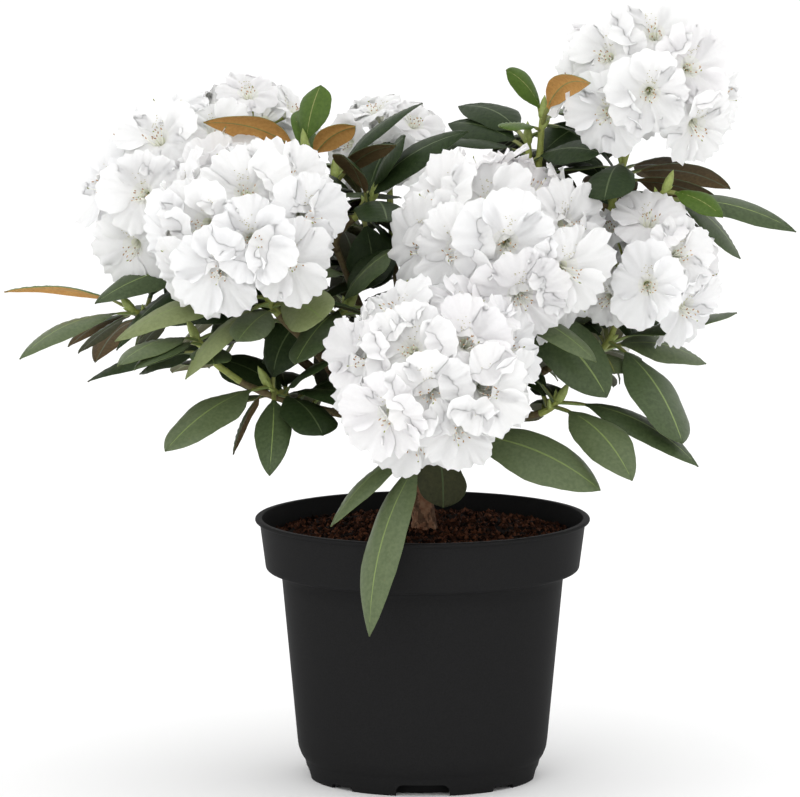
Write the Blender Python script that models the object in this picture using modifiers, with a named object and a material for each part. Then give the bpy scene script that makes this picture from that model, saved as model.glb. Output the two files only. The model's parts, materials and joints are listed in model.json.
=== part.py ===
"""A rhododendron in full flower, in a round nursery pot.

The tables are in millimetres and the scene is in metres, +Z up. The origin is under the
middle of the pot, +X is to the right, and -Y is the front. The shrub is a trunk, boughs and
masses of foliage: a mass is one stem that forks into shoots, with a whorl of leaves near
each shoot's end and, on most shoots, a truss of florets on top, all fused into one body.
"""
import math
import random
from collections import namedtuple

import bmesh
import bpy
from mathutils import Matrix, Vector
from mathutils.bvhtree import BVHTree
from mathutils.geometry import intersect_point_line

MM = 0.001
GAP = 0.3
GOLDEN_ANGLE = math.radians(137.508)
FRONT = Vector((0, -1, 0))
UP = Vector((0, 0, 1))

# Pot
SIDES = 32
POT_HEIGHT = 180.0
LIP_RADIUS = 115.0
LIP_DEPTH = 2.6
BAND_TOP_RADIUS = 111.8
BAND_FOOT_RADIUS = 107.9
BAND_FOOT_HEIGHT = 144.0
BAND_CORNER = 3.0
BODY_TOP_RADIUS = 96.5
BODY_TOP_HEIGHT = 137.0
BODY_FOOT_RADIUS = 86.1
BODY_FOOT_HEIGHT = 26.0
HEEL_RADIUS = 83.4
HEEL_HEIGHT = 15.0
FOOT_TOP_RADIUS = 81.0
FOOT_TOP_HEIGHT = 12.7
FOOT_RADIUS = 78.2
WALL = 1.6
FOOT_WALL = 2.4
FLOOR_TOP = 11.5
FLOOR_UNDER = 9.5
INNER_RING_RADIUS = 66.0
PAD_RADIUS = 13.0
LARGE_NOTCH = (36.5, 8.0, 5.0)
SMALL_NOTCH = (19.0, 3.0, 1.5)
NOTCH_REACH = (70.0, 90.0)

# Soil
SOIL_TOP = 172.0
SOIL_FLAT_RADIUS = 14.0
SOIL_EDGE_HEIGHT = 165.0
SOIL_SHOULDERS = ((70.0, 171.0), (96.0, 168.5))
SOIL_LUMP = 1.2

# Limbs, each from its foot to its tip
Limb = namedtuple("Limb", "name parent points foot_radius tip_radius")
TRUNK_POINTS = ((1, 0, SOIL_TOP + GAP), (1, 0, 179), (-1.5, 0, 199), (-12, 2, 219), (-16, 4, 236))
TRUNK_RADII = (9.5, 7.9, 7.3, 6.6, 6.0)
BOUGHS = (
    Limb("bough_front", "trunk", ((-7, 1, 209), (-8, -24, 226), (-2, -52, 240)), 3.6, 2.7),
    Limb("bough_left", "trunk", ((-10, 1.5, 214), (-38, 0, 243), (-68, 3, 276), (-105, 5, 303)), 4.4, 2.9),
    Limb("bough_lower_left", "bough_left", ((-30, 0.5, 241), (-44, -18, 250), (-62, -35, 258)), 3.2, 2.6),
    Limb("bough_left_front", "bough_left", ((-52, 2, 264), (-62, -20, 283), (-72, -45, 300)), 3.3, 2.6),
    Limb("bough_back_left", "bough_left", ((-60, 3, 271), (-72, 38, 298), (-86, 74, 322)), 3.3, 2.6),
    Limb("bough_right", "trunk", ((-14, 3, 227), (12, -3, 243), (48, -10, 263), (84, -16, 284)), 4.2, 2.9),
    Limb("bough_centre", "bough_right", ((14, -3.5, 244), (24, -14, 272), (31, -22, 300)), 3.3, 2.6),
    Limb("bough_lower_right", "bough_right", ((38, -8, 257), (50, -22, 256), (62, -34, 256)), 3.1, 2.6),
    Limb("bough_leader", None, ((-17.5, 5, 243), (-10, 6, 262), (15, 8, 300), (60, 15, 360)), 5.2, 2.9),
    Limb("bough_top_left", "bough_leader", ((-12, 6, 258), (-30, 12, 292), (-47, 20, 333)), 3.4, 2.6),
    Limb("bough_back", "bough_leader", ((-4, 7, 271), (-10, 38, 294), (-15, 78, 314)), 3.4, 2.6),
    Limb("bough_back_right", "bough_leader", ((20, 9, 307), (46, 32, 316), (74, 58, 324)), 3.0, 2.6),
    Limb("bough_top_right", "bough_leader", ((33, 11, 326), (62, 8, 334), (94, 4, 346)), 2.8, 2.6),
)
LIMB_STEPS = 3
LIMB_ROUNDNESS = 1

# Twigs of a mass
TWIG_FOOT_RADIUS = 2.6
TWIG_TIP_RADIUS = 2.2
TWIG_STRAIGHT = 4.0
TWIG_STEPS = 4
TWIG_ROUNDNESS = 0
FORK_AT = 0.3

# Leaves: how far along a leaf each section is, and how wide against its full width
SHOWN_OUTLINE = ((0.17, 0.0), (0.45, 1.0), (0.76, 0.78))
RULE_OUTLINE = ((0.5, 1.0),)
PETIOLE_WIDTH = 3.4
LEAF_THICKNESS = 2.0
LEAF_EDGE_DROP = 0.16
WHORL_STEP = 4.0
WHORL_ROWS = 6
RULE_STEP = 7.0
BLADE_START = 0.24
CLEARANCE = 0.6
ARCHES = (0.10, 0.16, 0.05, 0.22)
SHIFTS = (
    (0, 0), (-9, 0), (9, 0), (0, -7), (0, 7), (-18, 0), (18, 0), (-9, -9), (9, -9), (-9, 9),
    (-28, 0), (28, 0), (-18, -14), (18, -14), (-38, 0), (38, 0),
)
RULE_LENGTH = (80, 108)
RULE_WIDTH = (0.30, 0.36)
RULE_RISE = (-12, 22)
RULE_SAG = 0.38
RULE_TRIES = 5
CROWN_SPACE = ((-250, 216), (-150, 215), (200, 440))
CROWN_SKIRT = (60, 225, 0.32)
SEED = 4107

# Trusses: middle, radius across, depth against that radius, number of florets
Truss = namedtuple("Truss", "middle radius depth florets")
DOME_EDGE = math.radians(116)
CORE_SIZE = 0.5
FLORET_FOOT = 0.3
FLORET_LOBE = (0.86, 0.44)
FLORET_CLEFT = (0.88, 0.28)
FLORET_THROAT = 0.64
FLORET_SIZES = (1.0, 0.9, 0.8, 0.7, 0.6)
FLORET_MARGIN = 0.02
LOBES = 5

# A shoot has its whorl's place, its truss or None, the leaves that show, and how many the
# rule adds. A leaf is its tip's reach right, back and up, its width, and how far its upper
# side turns to the front, in degrees.
Shoot = namedtuple("Shoot", "whorl truss leaves more")
MASSES = {
    "mass_front": ("bough_front", (
        Shoot((11, -93, 253), Truss((6, -142, 301), 65, 0.76, 12), (
            (-47, -55, -130, 31, 0),
            (108, -18, -37, 46, 40),
            (-73, -22, -61, 28, 0),
            (3, 28, -56, 34, 0),
        ), 5),
    )),
    "mass_left_front": ("bough_left_front", (
        Shoot((-106, -66, 342), Truss((-121, -94, 393), 65, 0.62, 12), (
            (-101, -25, -28, 30, 25),
            (-53, -50, -50, 30, 0),
            (39, -48, -10, 36, 45),
            (-18, -45, -24, 26, 20),
        ), 5),
        Shoot((-50, -32, 330), None, (
            (-36, -58, -30, 32, 0),
            (27, 45, 33, 28, 0),
            (30, -12, 40, 30, 25),
            (-60, 12, -40, 34, 30),
            (-16, 22, -72, 34, 30),
        ), 5),
    )),
    "mass_centre": ("bough_centre", (
        Shoot((44, -44, 335), Truss((57, -62, 377), 72, 0.68, 12), (
            (80, -33, -61, 42, 35),
            (72, -60, -33, 30, 0),
        ), 5),
    )),
    "mass_right": ("bough_right", (
        Shoot((128, -20, 306), Truss((142, -26, 350), 58, 1.00, 11), (
            (47, -66, -62, 44, 0),
            (87, 40, 29, 34, 0),
            (67, 42, -23, 30, 35),
            (2, -62, -19, 34, 0),
        ), 5),
    )),
    "mass_top_right": ("bough_top_right", (
        Shoot((137, 0, 425), Truss((152, 0, 473), 60, 1.02, 11), (
            (-15, -68, -18, 34, 0),
            (48, 66, -20, 28, -40),
            (75, 48, -24, 28, -40),
            (68, 24, -32, 26, -35),
        ), 5),
        Shoot((165, -18, 408), None, (
            (38, -24, -16, 17, 35),
            (53, 38, -52, 30, 35),
            (90, 18, -31, 22, 40),
        ), 2),
    )),
    "mass_left": ("bough_left", (
        Shoot((-140, 20, 352), Truss((-164, 24, 397), 65, 1.12, 11), (
            (-83, -45, -21, 30, 20),
            (-68, -60, -51, 26, 0),
        ), 5),
        Shoot((-198, -10, 324), None, (
            (-89, 30, 9, 18, -25),
            (-75, -45, -27, 26, 0),
            (-47, 60, -33, 26, 0),
            (-29, 75, -46, 28, 0),
        ), 4),
    )),
    "mass_lower_left": ("bough_lower_left", (
        Shoot((-105, -50, 279), None, (
            (-68, -58, -37, 36, 10),
            (2, -62, -53, 25, 0),
            (38, -52, -27, 36, 0),
            (45, -42, 22, 34, 30),
            (-54, 45, -30, 30, 0),
            (-35, 50, 10, 30, 35),
            (-24, 40, -50, 20, 0),
            (20, 34, 42, 34, 35),
        ), 5),
        Shoot((-153, -60, 312), None, (
            (-51, -62, -10, 26, 0),
            (-40, -70, -13, 20, 0),
            (13, -72, -10, 28, 0),
            (-75, 30, -34, 24, 25),
            (-41, 66, -34, 26, 35),
        ), 4),
    )),
    "mass_lower_right": ("bough_lower_right", (
        Shoot((92, -50, 268), None, (
            (94, -28, -41, 32, 20),
            (48, -70, -44, 34, 15),
        ), 5),
    )),
    "mass_top_left": ("bough_top_left", (
        Shoot((-80, 30, 430), None, (
            (10, 14, 43, 25, 0),
            (-69, -20, 23, 22, -60),
            (34, -25, 19, 20, -40),
            (-5, 28, 24, 20, -30),
            (24, -46, -20, 28, -20),
        ), 2),
        Shoot((-60, 30, 411), None, (
            (60, 48, 46, 20, 0),
            (42, -52, 28, 18, -20),
        ), 5),
        Shoot((-34, 20, 398), None, (
            (66, 58, 36, 28, 10),
            (10, -68, -8, 38, 0),
            (16, 68, 34, 28, 0),
            (0, -14, -62, 34, 30),
            (34, 4, -62, 32, 30),
            (65, -20, 48, 32, 35),
            (22, -10, 44, 28, 35),
            (-20, -15, 34, 28, 35),
        ), 5),
    )),
    "mass_top": ("bough_leader", (
        Shoot((82, 20, 454), None, (
            (-25, -10, 33, 18, 60),
            (30, -70, 33, 18, -50),
            (-30, -20, -5, 16, 20),
        ), 2),
        Shoot((72, 20, 436), None, (
            (-47, 66, 18, 28, 25),
            (-54, 56, 7, 28, 25),
            (-67, 42, -3, 26, 0),
            (49, -46, -2, 28, 30),
            (48, 58, 8, 28, 30),
        ), 5),
    )),
    "mass_back_left": ("bough_back_left", (
        Shoot((-106, 96, 384), Truss((-120, 112, 429), 47, 0.95, 7), (), 7),
        Shoot((-112, 118, 320), Truss((-132, 150, 345), 50, 0.90, 7), (), 7),
    )),
    "mass_back": ("bough_back", (
        Shoot((-22, 102, 378), Truss((-24, 118, 418), 45, 0.95, 7), (), 7),
        Shoot((34, 122, 310), Truss((42, 152, 336), 50, 0.90, 7), (), 7),
    )),
    "mass_back_right": ("bough_back_right", (
        Shoot((112, 84, 372), None, (), 8),
        Shoot((100, 80, 300), Truss((124, 102, 322), 44, 0.90, 7), (), 7),
    )),
}
Leaf = namedtuple("Leaf", "base tip width arch face outline")

COLOURS = {
    "pot": (0.022, 0.022, 0.024, 0.42),
    "soil": (0.045, 0.018, 0.010, 0.95),
    "bark": (0.16, 0.085, 0.045, 0.85),
    "leaf": (0.045, 0.085, 0.030, 0.45),
    "petal": (0.86, 0.85, 0.86, 0.60),
}


def clear_scene():
    for thing in list(bpy.data.objects):
        bpy.data.objects.remove(thing, do_unlink=True)


def new_collection(name):
    collection = bpy.data.collections.new(name)
    bpy.context.scene.collection.children.link(collection)
    return collection


def make_materials():
    materials = {}
    for name, (red, green, blue, roughness) in COLOURS.items():
        material = bpy.data.materials.new(name)
        material.use_nodes = True
        shader = material.node_tree.nodes["Principled BSDF"]
        shader.inputs["Base Color"].default_value = (red, green, blue, 1)
        shader.inputs["Roughness"].default_value = roughness
        shader.inputs["Metallic"].default_value = 0
        materials[name] = material
    return materials


def add_object(name, data, collection, material):
    thing = bpy.data.objects.new(name, data)
    thing.data.materials.append(material)
    collection.objects.link(thing)
    return thing


def evaluated_mesh(thing):
    """The object's mesh as its modifiers leave it."""
    depsgraph = bpy.context.evaluated_depsgraph_get()
    return bpy.data.meshes.new_from_object(thing.evaluated_get(depsgraph))


def set_origin(thing, point):
    thing.data.transform(Matrix.Translation(-point))
    thing.location = point


def as_guide(thing):
    thing.hide_render = True
    thing.display_type = "WIRE"


def turned(name, profile, collection, material):
    """A solid of revolution from a profile that starts and ends on the axis."""
    mesh = bpy.data.meshes.new(name)
    points = [(radius * MM, 0, height * MM) for radius, height in profile]
    mesh.from_pydata(points, [(i, i + 1) for i in range(len(points) - 1)], [])
    thing = add_object(name, mesh, collection, material)
    screw = thing.modifiers.new("turn", "SCREW")
    screw.axis = "Z"
    screw.steps = SIDES
    screw.render_steps = SIDES
    screw.use_merge_vertices = True
    screw.merge_threshold = 0.00001
    return thing


def shade_round(thing, degrees=35):
    thing.data.shade_smooth()
    thing.data.set_sharp_from_angle(angle=math.radians(degrees))


def inner_wall(clear):
    """The pot's inner side from the brim down, or a line that much further in."""
    inset = WALL + clear
    return [
        (BAND_FOOT_RADIUS - inset, BAND_FOOT_HEIGHT + 2 * WALL + clear),
        (BODY_TOP_RADIUS - inset, BODY_TOP_HEIGHT + 2 * WALL + clear),
        (BODY_FOOT_RADIUS - inset, BODY_FOOT_HEIGHT),
        (FOOT_TOP_RADIUS - inset, FLOOR_TOP + clear),
    ]


def band_inner_radius(height):
    share = (height - BAND_FOOT_HEIGHT) / (POT_HEIGHT - BAND_FOOT_HEIGHT)
    return BAND_FOOT_RADIUS + (BAND_TOP_RADIUS - BAND_FOOT_RADIUS) * share - WALL


def band_corner():
    """The rounded lower corner of the band, from its side round to its underside."""
    radius, height = BAND_FOOT_RADIUS - BAND_CORNER, BAND_FOOT_HEIGHT + BAND_CORNER
    angles = (0, -math.pi / 4, -math.pi / 2)
    return [(radius + BAND_CORNER * math.cos(a), height + BAND_CORNER * math.sin(a)) for a in angles]


def notch(size, turn):
    """A block that cuts a notch with rounded upper corners through the foot ring."""
    width, height, corner = size
    near, far = NOTCH_REACH
    block = bmesh.new()
    bmesh.ops.create_cube(block, size=1)
    bmesh.ops.scale(block, vec=Vector((far - near, width, 2 * height)) * MM, verts=block.verts)
    bmesh.ops.translate(block, vec=Vector((near + far, 0, 0)) * MM / 2, verts=block.verts)
    top = [edge for edge in block.edges if all(vertex.co.z > 0 for vertex in edge.verts)]
    upper = [edge for edge in top if edge.verts[0].co.y == edge.verts[1].co.y]
    bmesh.ops.bevel(block, geom=upper, offset=corner * MM, segments=3, profile=0.5, affect="EDGES")
    bmesh.ops.rotate(block, matrix=Matrix.Rotation(turn, 3, "Z"), verts=block.verts)
    return block


def make_pot(parts, guides, materials):
    profile = [(0, FLOOR_TOP)]
    profile += reversed(inner_wall(0))
    profile += [
        (BAND_TOP_RADIUS - WALL, POT_HEIGHT - 0.6),
        (BAND_TOP_RADIUS - WALL / 2, POT_HEIGHT),
        (LIP_RADIUS - 0.5, POT_HEIGHT),
        (LIP_RADIUS, POT_HEIGHT - LIP_DEPTH / 2),
        (BAND_TOP_RADIUS, POT_HEIGHT - LIP_DEPTH),
    ]
    profile += band_corner()
    profile += [
        (BODY_TOP_RADIUS + 1.5, BODY_TOP_HEIGHT + 2.5),
        (BODY_TOP_RADIUS, BODY_TOP_HEIGHT),
        (BODY_FOOT_RADIUS, BODY_FOOT_HEIGHT),
        (HEEL_RADIUS, HEEL_HEIGHT),
        (FOOT_TOP_RADIUS, FOOT_TOP_HEIGHT),
        (FOOT_RADIUS, 0),
        (FOOT_RADIUS - FOOT_WALL, 0),
        (FOOT_RADIUS - FOOT_WALL, FLOOR_UNDER),
        (INNER_RING_RADIUS, FLOOR_UNDER),
        (INNER_RING_RADIUS, 0),
        (INNER_RING_RADIUS - FOOT_WALL, 0),
        (INNER_RING_RADIUS - FOOT_WALL, FLOOR_UNDER),
        (PAD_RADIUS, FLOOR_UNDER),
        (PAD_RADIUS, 0),
        (0, 0),
    ]
    pot = turned("pot", profile, parts, materials["pot"])
    cutter_mesh = bpy.data.meshes.new("foot_notches")
    cutter = bmesh.new()
    for eighth in range(8):
        size = LARGE_NOTCH if eighth % 2 == 0 else SMALL_NOTCH
        block = notch(size, eighth * math.pi / 4)
        block.to_mesh(cutter_mesh)
        cutter.from_mesh(cutter_mesh)
        block.free()
    cutter.to_mesh(cutter_mesh)
    cutter.free()
    notches = bpy.data.objects.new("foot_notches", cutter_mesh)
    guides.objects.link(notches)
    as_guide(notches)
    cut = pot.modifiers.new("notches", "BOOLEAN")
    cut.operation = "DIFFERENCE"
    cut.object = notches
    shade_round(pot)
    return pot


def make_soil(parts, materials):
    edge_radius = band_inner_radius(SOIL_EDGE_HEIGHT) - GAP
    profile = [(0, SOIL_TOP), (SOIL_FLAT_RADIUS, SOIL_TOP), *SOIL_SHOULDERS, (edge_radius, SOIL_EDGE_HEIGHT)]
    profile += inner_wall(GAP)
    profile += [(0, FLOOR_TOP + GAP)]
    soil = turned("soil", profile, parts, materials["soil"])
    shape = evaluated_mesh(soil)
    soil.modifiers.clear()
    soil.data = shape
    lumps = random.Random(SEED)
    for vertex in shape.vertices:
        radius = math.hypot(vertex.co.x, vertex.co.y) / MM
        if SOIL_FLAT_RADIUS + 1 < radius < edge_radius - 1 and vertex.co.z > SOIL_EDGE_HEIGHT * MM:
            vertex.co.z += lumps.uniform(-SOIL_LUMP, SOIL_LUMP) * MM
    shade_round(soil)
    return soil


def smooth_path(points, steps):
    """Points along a smooth curve through the given ones."""
    points = [Vector(p) for p in points]
    ends = [2 * points[0] - points[1]] + points + [2 * points[-1] - points[-2]]
    path = [points[0]]
    for a, b, c, d in zip(ends, ends[1:], ends[2:], ends[3:]):
        for step in range(1, steps + 1):
            t = step / steps
            path.append(0.5 * (2 * b + (c - a) * t + (2 * a - 5 * b + 4 * c - d) * t**2
                               + (3 * b - a - 3 * c + d) * t**3))
    return path


def tube(name, path, radii, roundness, collection, material):
    """A closed tapering tube along a path, with the radius given at each of its points."""
    curve = bpy.data.curves.new(name, "CURVE")
    curve.dimensions = "3D"
    curve.bevel_depth = MM
    curve.bevel_resolution = roundness
    curve.use_fill_caps = True
    spline = curve.splines.new("POLY")
    spline.points.add(len(path) - 1)
    for point, place, radius in zip(spline.points, path, radii):
        point.co = (*(place * MM), 1)
        point.radius = radius
    bent = bpy.data.objects.new(name, curve)
    collection.objects.link(bent)
    mesh = evaluated_mesh(bent)
    bpy.data.objects.remove(bent)
    body = bmesh.new()
    body.from_mesh(mesh)
    bmesh.ops.remove_doubles(body, verts=body.verts, dist=0.000001)
    bmesh.ops.recalc_face_normals(body, faces=body.faces)
    body.to_mesh(mesh)
    body.free()
    mesh.name = name
    return add_object(name, mesh, collection, material)


def spread(first, last, count):
    return [first + (last - first) * i / (count - 1) for i in range(count)]


def nearest_on(path, point):
    """The place on a path that is nearest to a point."""
    spots = []
    for start, end in zip(path, path[1:]):
        spot, share = intersect_point_line(point, start, end)
        spots.append(start if share < 0 else end if share > 1 else spot)
    return min(spots, key=lambda spot: (spot - point).length)


def limb_path(limb, paths):
    """A bough starts inside its parent, and the leader a gap above the trunk's fork."""
    if limb.parent:
        foot = nearest_on(paths[limb.parent], Vector(limb.points[0]))
        return smooth_path((foot, *limb.points[1:]), LIMB_STEPS)
    trunk_tip = Vector(TRUNK_POINTS[-1])
    onward = (trunk_tip - Vector(TRUNK_POINTS[-2])).normalized()
    foot = trunk_tip + onward * GAP
    return [foot] + smooth_path((foot + onward * TWIG_STRAIGHT, *limb.points), LIMB_STEPS)


def make_limbs(parts, guides, materials):
    """The trunk and the boughs. A bough's foot is cut to its parent's side, a gap clear."""
    bark = materials["bark"]
    paths = {"trunk": [Vector(p) for p in TRUNK_POINTS]}
    radii = {"trunk": TRUNK_RADII}
    for limb in BOUGHS:
        paths[limb.name] = limb_path(limb, paths)
        radii[limb.name] = spread(limb.foot_radius, limb.tip_radius, len(paths[limb.name]))
    limbs = {}
    for name, path in paths.items():
        limbs[name] = tube(name, path, radii[name], LIMB_ROUNDNESS, parts, bark)
    for limb in BOUGHS:
        if not limb.parent:
            continue
        name = f"clear_of_{limb.parent}"
        if name not in guides.objects:
            wider = [radius + GAP for radius in radii[limb.parent]]
            guide = tube(name, paths[limb.parent], wider, LIMB_ROUNDNESS, guides, bark)
            as_guide(guide)
        cut = limbs[limb.name].modifiers.new("saddle", "BOOLEAN")
        cut.operation = "DIFFERENCE"
        cut.object = guides.objects[name]
    for limb in limbs.values():
        shade_round(limb, 50)
    return limbs, paths


def twig_path(start, heading, whorl, axis):
    """A twig that leaves its start along the heading and reaches its whorl along the axis."""
    reach = (whorl - start).length / 3
    first = start + heading * TWIG_STRAIGHT
    a, b, c, d = first, first + heading * reach, whorl - axis * reach, whorl
    path = [start]
    for step in range(TWIG_STEPS + 1):
        t = step / TWIG_STEPS
        path.append(a * (1 - t)**3 + b * 3 * t * (1 - t)**2 + c * 3 * t**2 * (1 - t) + d * t**3)
    return path


def shoot_axis(shoot, start):
    """The way the shoot points at its whorl: into its truss, or outward and up."""
    whorl = Vector(shoot.whorl)
    if shoot.truss:
        return (Vector(shoot.truss.middle) - whorl).normalized()
    outward = whorl - start
    return (outward.normalized() + UP * 1.2).normalized()


def across(axis):
    """Two unit vectors at right angles to the axis and to each other."""
    side = axis.orthogonal().normalized()
    return side, axis.cross(side).normalized()


def leaf_rings(leaf, first=0.0, extra=0.0):
    """The four-sided sections of a leaf from its petiole, or from further out, to its tip."""
    chord = leaf.tip - leaf.base
    length = chord.length
    along = chord / length
    rise = (UP - along * UP.dot(along)).normalized()
    side = along.cross(rise)
    bend = (leaf.base + leaf.tip) / 2 + rise * (2 * leaf.arch * length)
    turn = math.radians(leaf.face) * (1 if side.dot(FRONT) > 0 else -1)
    half = PETIOLE_WIDTH / 2
    stations = [(first, half)]
    for place, share in leaf.outline:
        if place > first:
            stations.append((place, max(half, leaf.width / 2 * share)))
    rings = []
    for t, half_width in stations:
        middle = leaf.base * (1 - t)**2 + bend * (2 * t * (1 - t)) + leaf.tip * t**2
        onward = ((bend - leaf.base) * (1 - t) + (leaf.tip - bend) * t).normalized()
        normal = side.cross(onward).normalized()
        wide = side * math.cos(turn) - normal * math.sin(turn)
        thick = normal * math.cos(turn) + side * math.sin(turn)
        edge = -thick * (half_width * LEAF_EDGE_DROP)
        reach = half_width + extra
        depth = LEAF_THICKNESS / 2 + extra
        rings.append([middle - wide * reach + edge, middle + thick * depth,
                      middle + wide * reach + edge, middle - thick * depth])
    return rings


def leaf_skin(leaf, first=0.0, extra=0.0):
    """Corners and faces of a leaf: its sections lofted, closed at the foot and at the tip."""
    rings = leaf_rings(leaf, first, extra)
    corners = [corner for ring in rings for corner in ring] + [leaf.tip]
    faces = [(3, 2, 1, 0)]
    for row in range(len(rings) - 1):
        for k in range(4):
            a, b = row * 4 + k, row * 4 + (k + 1) % 4
            faces.append((a, b, b + 4, a + 4))
    last = (len(rings) - 1) * 4
    faces += [(last + k, last + (k + 1) % 4, len(corners) - 1) for k in range(4)]
    return corners, faces


def upright(axis):
    """Across the axis: to the side and level, and as far up as it can be."""
    rise = (UP - axis * UP.dot(axis)).normalized()
    return rise.cross(axis).normalized(), rise


def floret_skin(truss, axis, index, size):
    """Corners and faces of one funnel-shaped floret with five lobes, on the truss's dome."""
    share = (index + 0.5) / truss.florets
    polar = math.acos(1 - (1 - math.cos(DOME_EDGE)) * share)
    side, other = across(axis)
    azimuth = truss.middle[0] + index * GOLDEN_ANGLE
    sideways = side * math.cos(azimuth) + other * math.sin(azimuth)
    outward = axis * math.cos(polar) + sideways * math.sin(polar)
    wide, tall = upright(outward)
    middle = Vector(truss.middle)

    def place(height, radius, angle):
        spot = outward * height + (wide * math.cos(angle) + tall * math.sin(angle)) * radius
        spot -= axis * (spot.dot(axis) * (1 - truss.depth))
        return middle + spot * truss.radius * size

    step = 2 * math.pi / LOBES
    corners = [place(FLORET_FOOT, 0, 0), place(FLORET_THROAT, 0, 0)]
    for k in range(LOBES):
        corners.append(place(*FLORET_LOBE, math.pi / 2 + k * step))
        corners.append(place(*FLORET_CLEFT, math.pi / 2 + (k + 0.5) * step))
    faces = []
    for k in range(2 * LOBES):
        here, beyond = 2 + k, 2 + (k + 1) % (2 * LOBES)
        faces += [(0, beyond, here), (1, here, beyond)]
    return corners, faces


def skin_object(name, skin, collection, material):
    corners, faces = skin
    mesh = bpy.data.meshes.new(name)
    mesh.from_pydata([corner * MM for corner in corners], [], faces)
    body = bmesh.new()
    body.from_mesh(mesh)
    bmesh.ops.triangulate(body, faces=body.faces)
    bmesh.ops.recalc_face_normals(body, faces=body.faces)
    body.to_mesh(mesh)
    body.free()
    return add_object(name, mesh, collection, material)


def skin_tree(skin):
    return BVHTree.FromPolygons(*skin)


def object_tree(thing):
    corners = [vertex.co / MM for vertex in thing.data.vertices]
    return BVHTree.FromPolygons(corners, [tuple(face.vertices) for face in thing.data.polygons])


def is_clear(skin, placed, owner):
    """Whether a skin touches nothing that is already there, its owner's own pieces aside."""
    tree = skin_tree(skin)
    others = [other for name, trees in placed.items() if name != owner for other in trees]
    return not any(tree.overlap(other) for other in others)


def leaf_fits(leaf, placed, owner):
    """Whether the whole leaf is clear of the other masses, and its blade of its own mass."""
    blade = skin_tree(leaf_skin(leaf, BLADE_START, CLEARANCE))
    if any(blade.overlap(other) for other in placed[owner]):
        return False
    return is_clear(leaf_skin(leaf, 0, CLEARANCE), placed, owner)


def place_shown_leaf(base, whorl, row, placed, owner):
    """A leaf that shows from the front, moved a little back or down until it is clear."""
    right, back, up, width, face = row
    for arch in ARCHES:
        for shift_back, shift_up in SHIFTS:
            tip = whorl + Vector((right, back + shift_back, up + shift_up))
            leaf = Leaf(base, tip, width, arch, face, SHOWN_OUTLINE)
            if leaf_fits(leaf, placed, owner):
                return leaf
    return None


def inside_crown(point):
    """Whether a leaf's tip is in the crown, whose lower side rises away from the trunk."""
    start, foot, slope = CROWN_SKIRT
    skirt = foot + slope * max(0, math.hypot(point.x, point.y) - start)
    inside = all(low <= value <= high for value, (low, high) in zip(point, CROWN_SPACE))
    return inside and point.z > skirt


def place_rule_leaf(base, axis, azimuth, seed, front_free, placed, owner):
    """A leaf on the golden angle round its shoot, or none where there is no room for it."""
    draw = random.Random(seed)
    side, other = across(axis)
    for attempt in range(RULE_TRIES):
        turn = azimuth + draw.uniform(-0.5, 0.5) * attempt
        rise = math.radians(draw.uniform(*RULE_RISE))
        length = draw.uniform(*RULE_LENGTH)
        way = (side * math.cos(turn) + other * math.sin(turn)) * math.cos(rise) + axis * math.sin(rise)
        way = (way - UP * RULE_SAG).normalized()
        tip = base + way * length
        width = length * draw.uniform(*RULE_WIDTH)
        leaf = Leaf(base, tip, width, draw.choice(ARCHES), 0, RULE_OUTLINE)
        if (front_free or way.y > 0.1) and inside_crown(tip) and leaf_fits(leaf, placed, owner):
            return leaf
    return None


def grow_twigs(name, bough_path, shoots, collection, material):
    """The twigs of a mass, and each shoot with its whorl and axis."""
    tip, before = bough_path[-1], bough_path[-2]
    heading = (tip - before).normalized()
    twigs, grown, stem = [], [], None
    for number, shoot in enumerate(shoots):
        start, way = tip + heading * GAP, heading
        if stem:
            fork = max(1, round(FORK_AT * (len(stem) - 1)))
            start, way = stem[fork], (stem[fork + 1] - stem[fork]).normalized()
        axis = shoot_axis(shoot, start)
        path = twig_path(start, way, Vector(shoot.whorl), axis)
        stem = stem or path
        stalk = path + [Vector(shoot.truss.middle)] if shoot.truss else path
        radii = spread(TWIG_FOOT_RADIUS, TWIG_TIP_RADIUS, len(stalk))
        twigs.append(tube(f"{name}_twig_{number}", stalk, radii, TWIG_ROUNDNESS, collection, material))
        grown.append((shoot, axis, path))
    return twigs, grown


def open_florets(truss, axis, owner, placed):
    """The truss's florets, each as large as its neighbours in other masses leave room for."""
    skins = []
    for index in range(truss.florets):
        for size in FLORET_SIZES:
            if is_clear(floret_skin(truss, axis, index, size + FLORET_MARGIN), placed, owner):
                skins.append(floret_skin(truss, axis, index, size))
                break
    return skins


def make_truss(name, truss, axis, owner, placed, collection, material):
    """A dome of florets round a small core, each floret's foot deep in the core."""
    core = bmesh.new()
    bmesh.ops.create_icosphere(core, subdivisions=1, radius=truss.radius * CORE_SIZE * MM)
    bmesh.ops.translate(core, vec=Vector(truss.middle) * MM, verts=core.verts)
    mesh = bpy.data.meshes.new(f"{name}_core")
    core.to_mesh(mesh)
    core.free()
    pieces = [add_object(f"{name}_core", mesh, collection, material)]
    for index, skin in enumerate(open_florets(truss, axis, owner, placed)):
        pieces.append(skin_object(f"{name}_floret_{index}", skin, collection, material))
    return pieces


def down_twig(path, distance):
    """The place on a twig that is so far below its whorl, and no lower than its foot."""
    for end, start in zip(path[::-1], path[-2::-1]):
        length = (end - start).length
        if distance < length:
            return end.lerp(start, distance / length)
        distance -= length
    return path[1]


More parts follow.
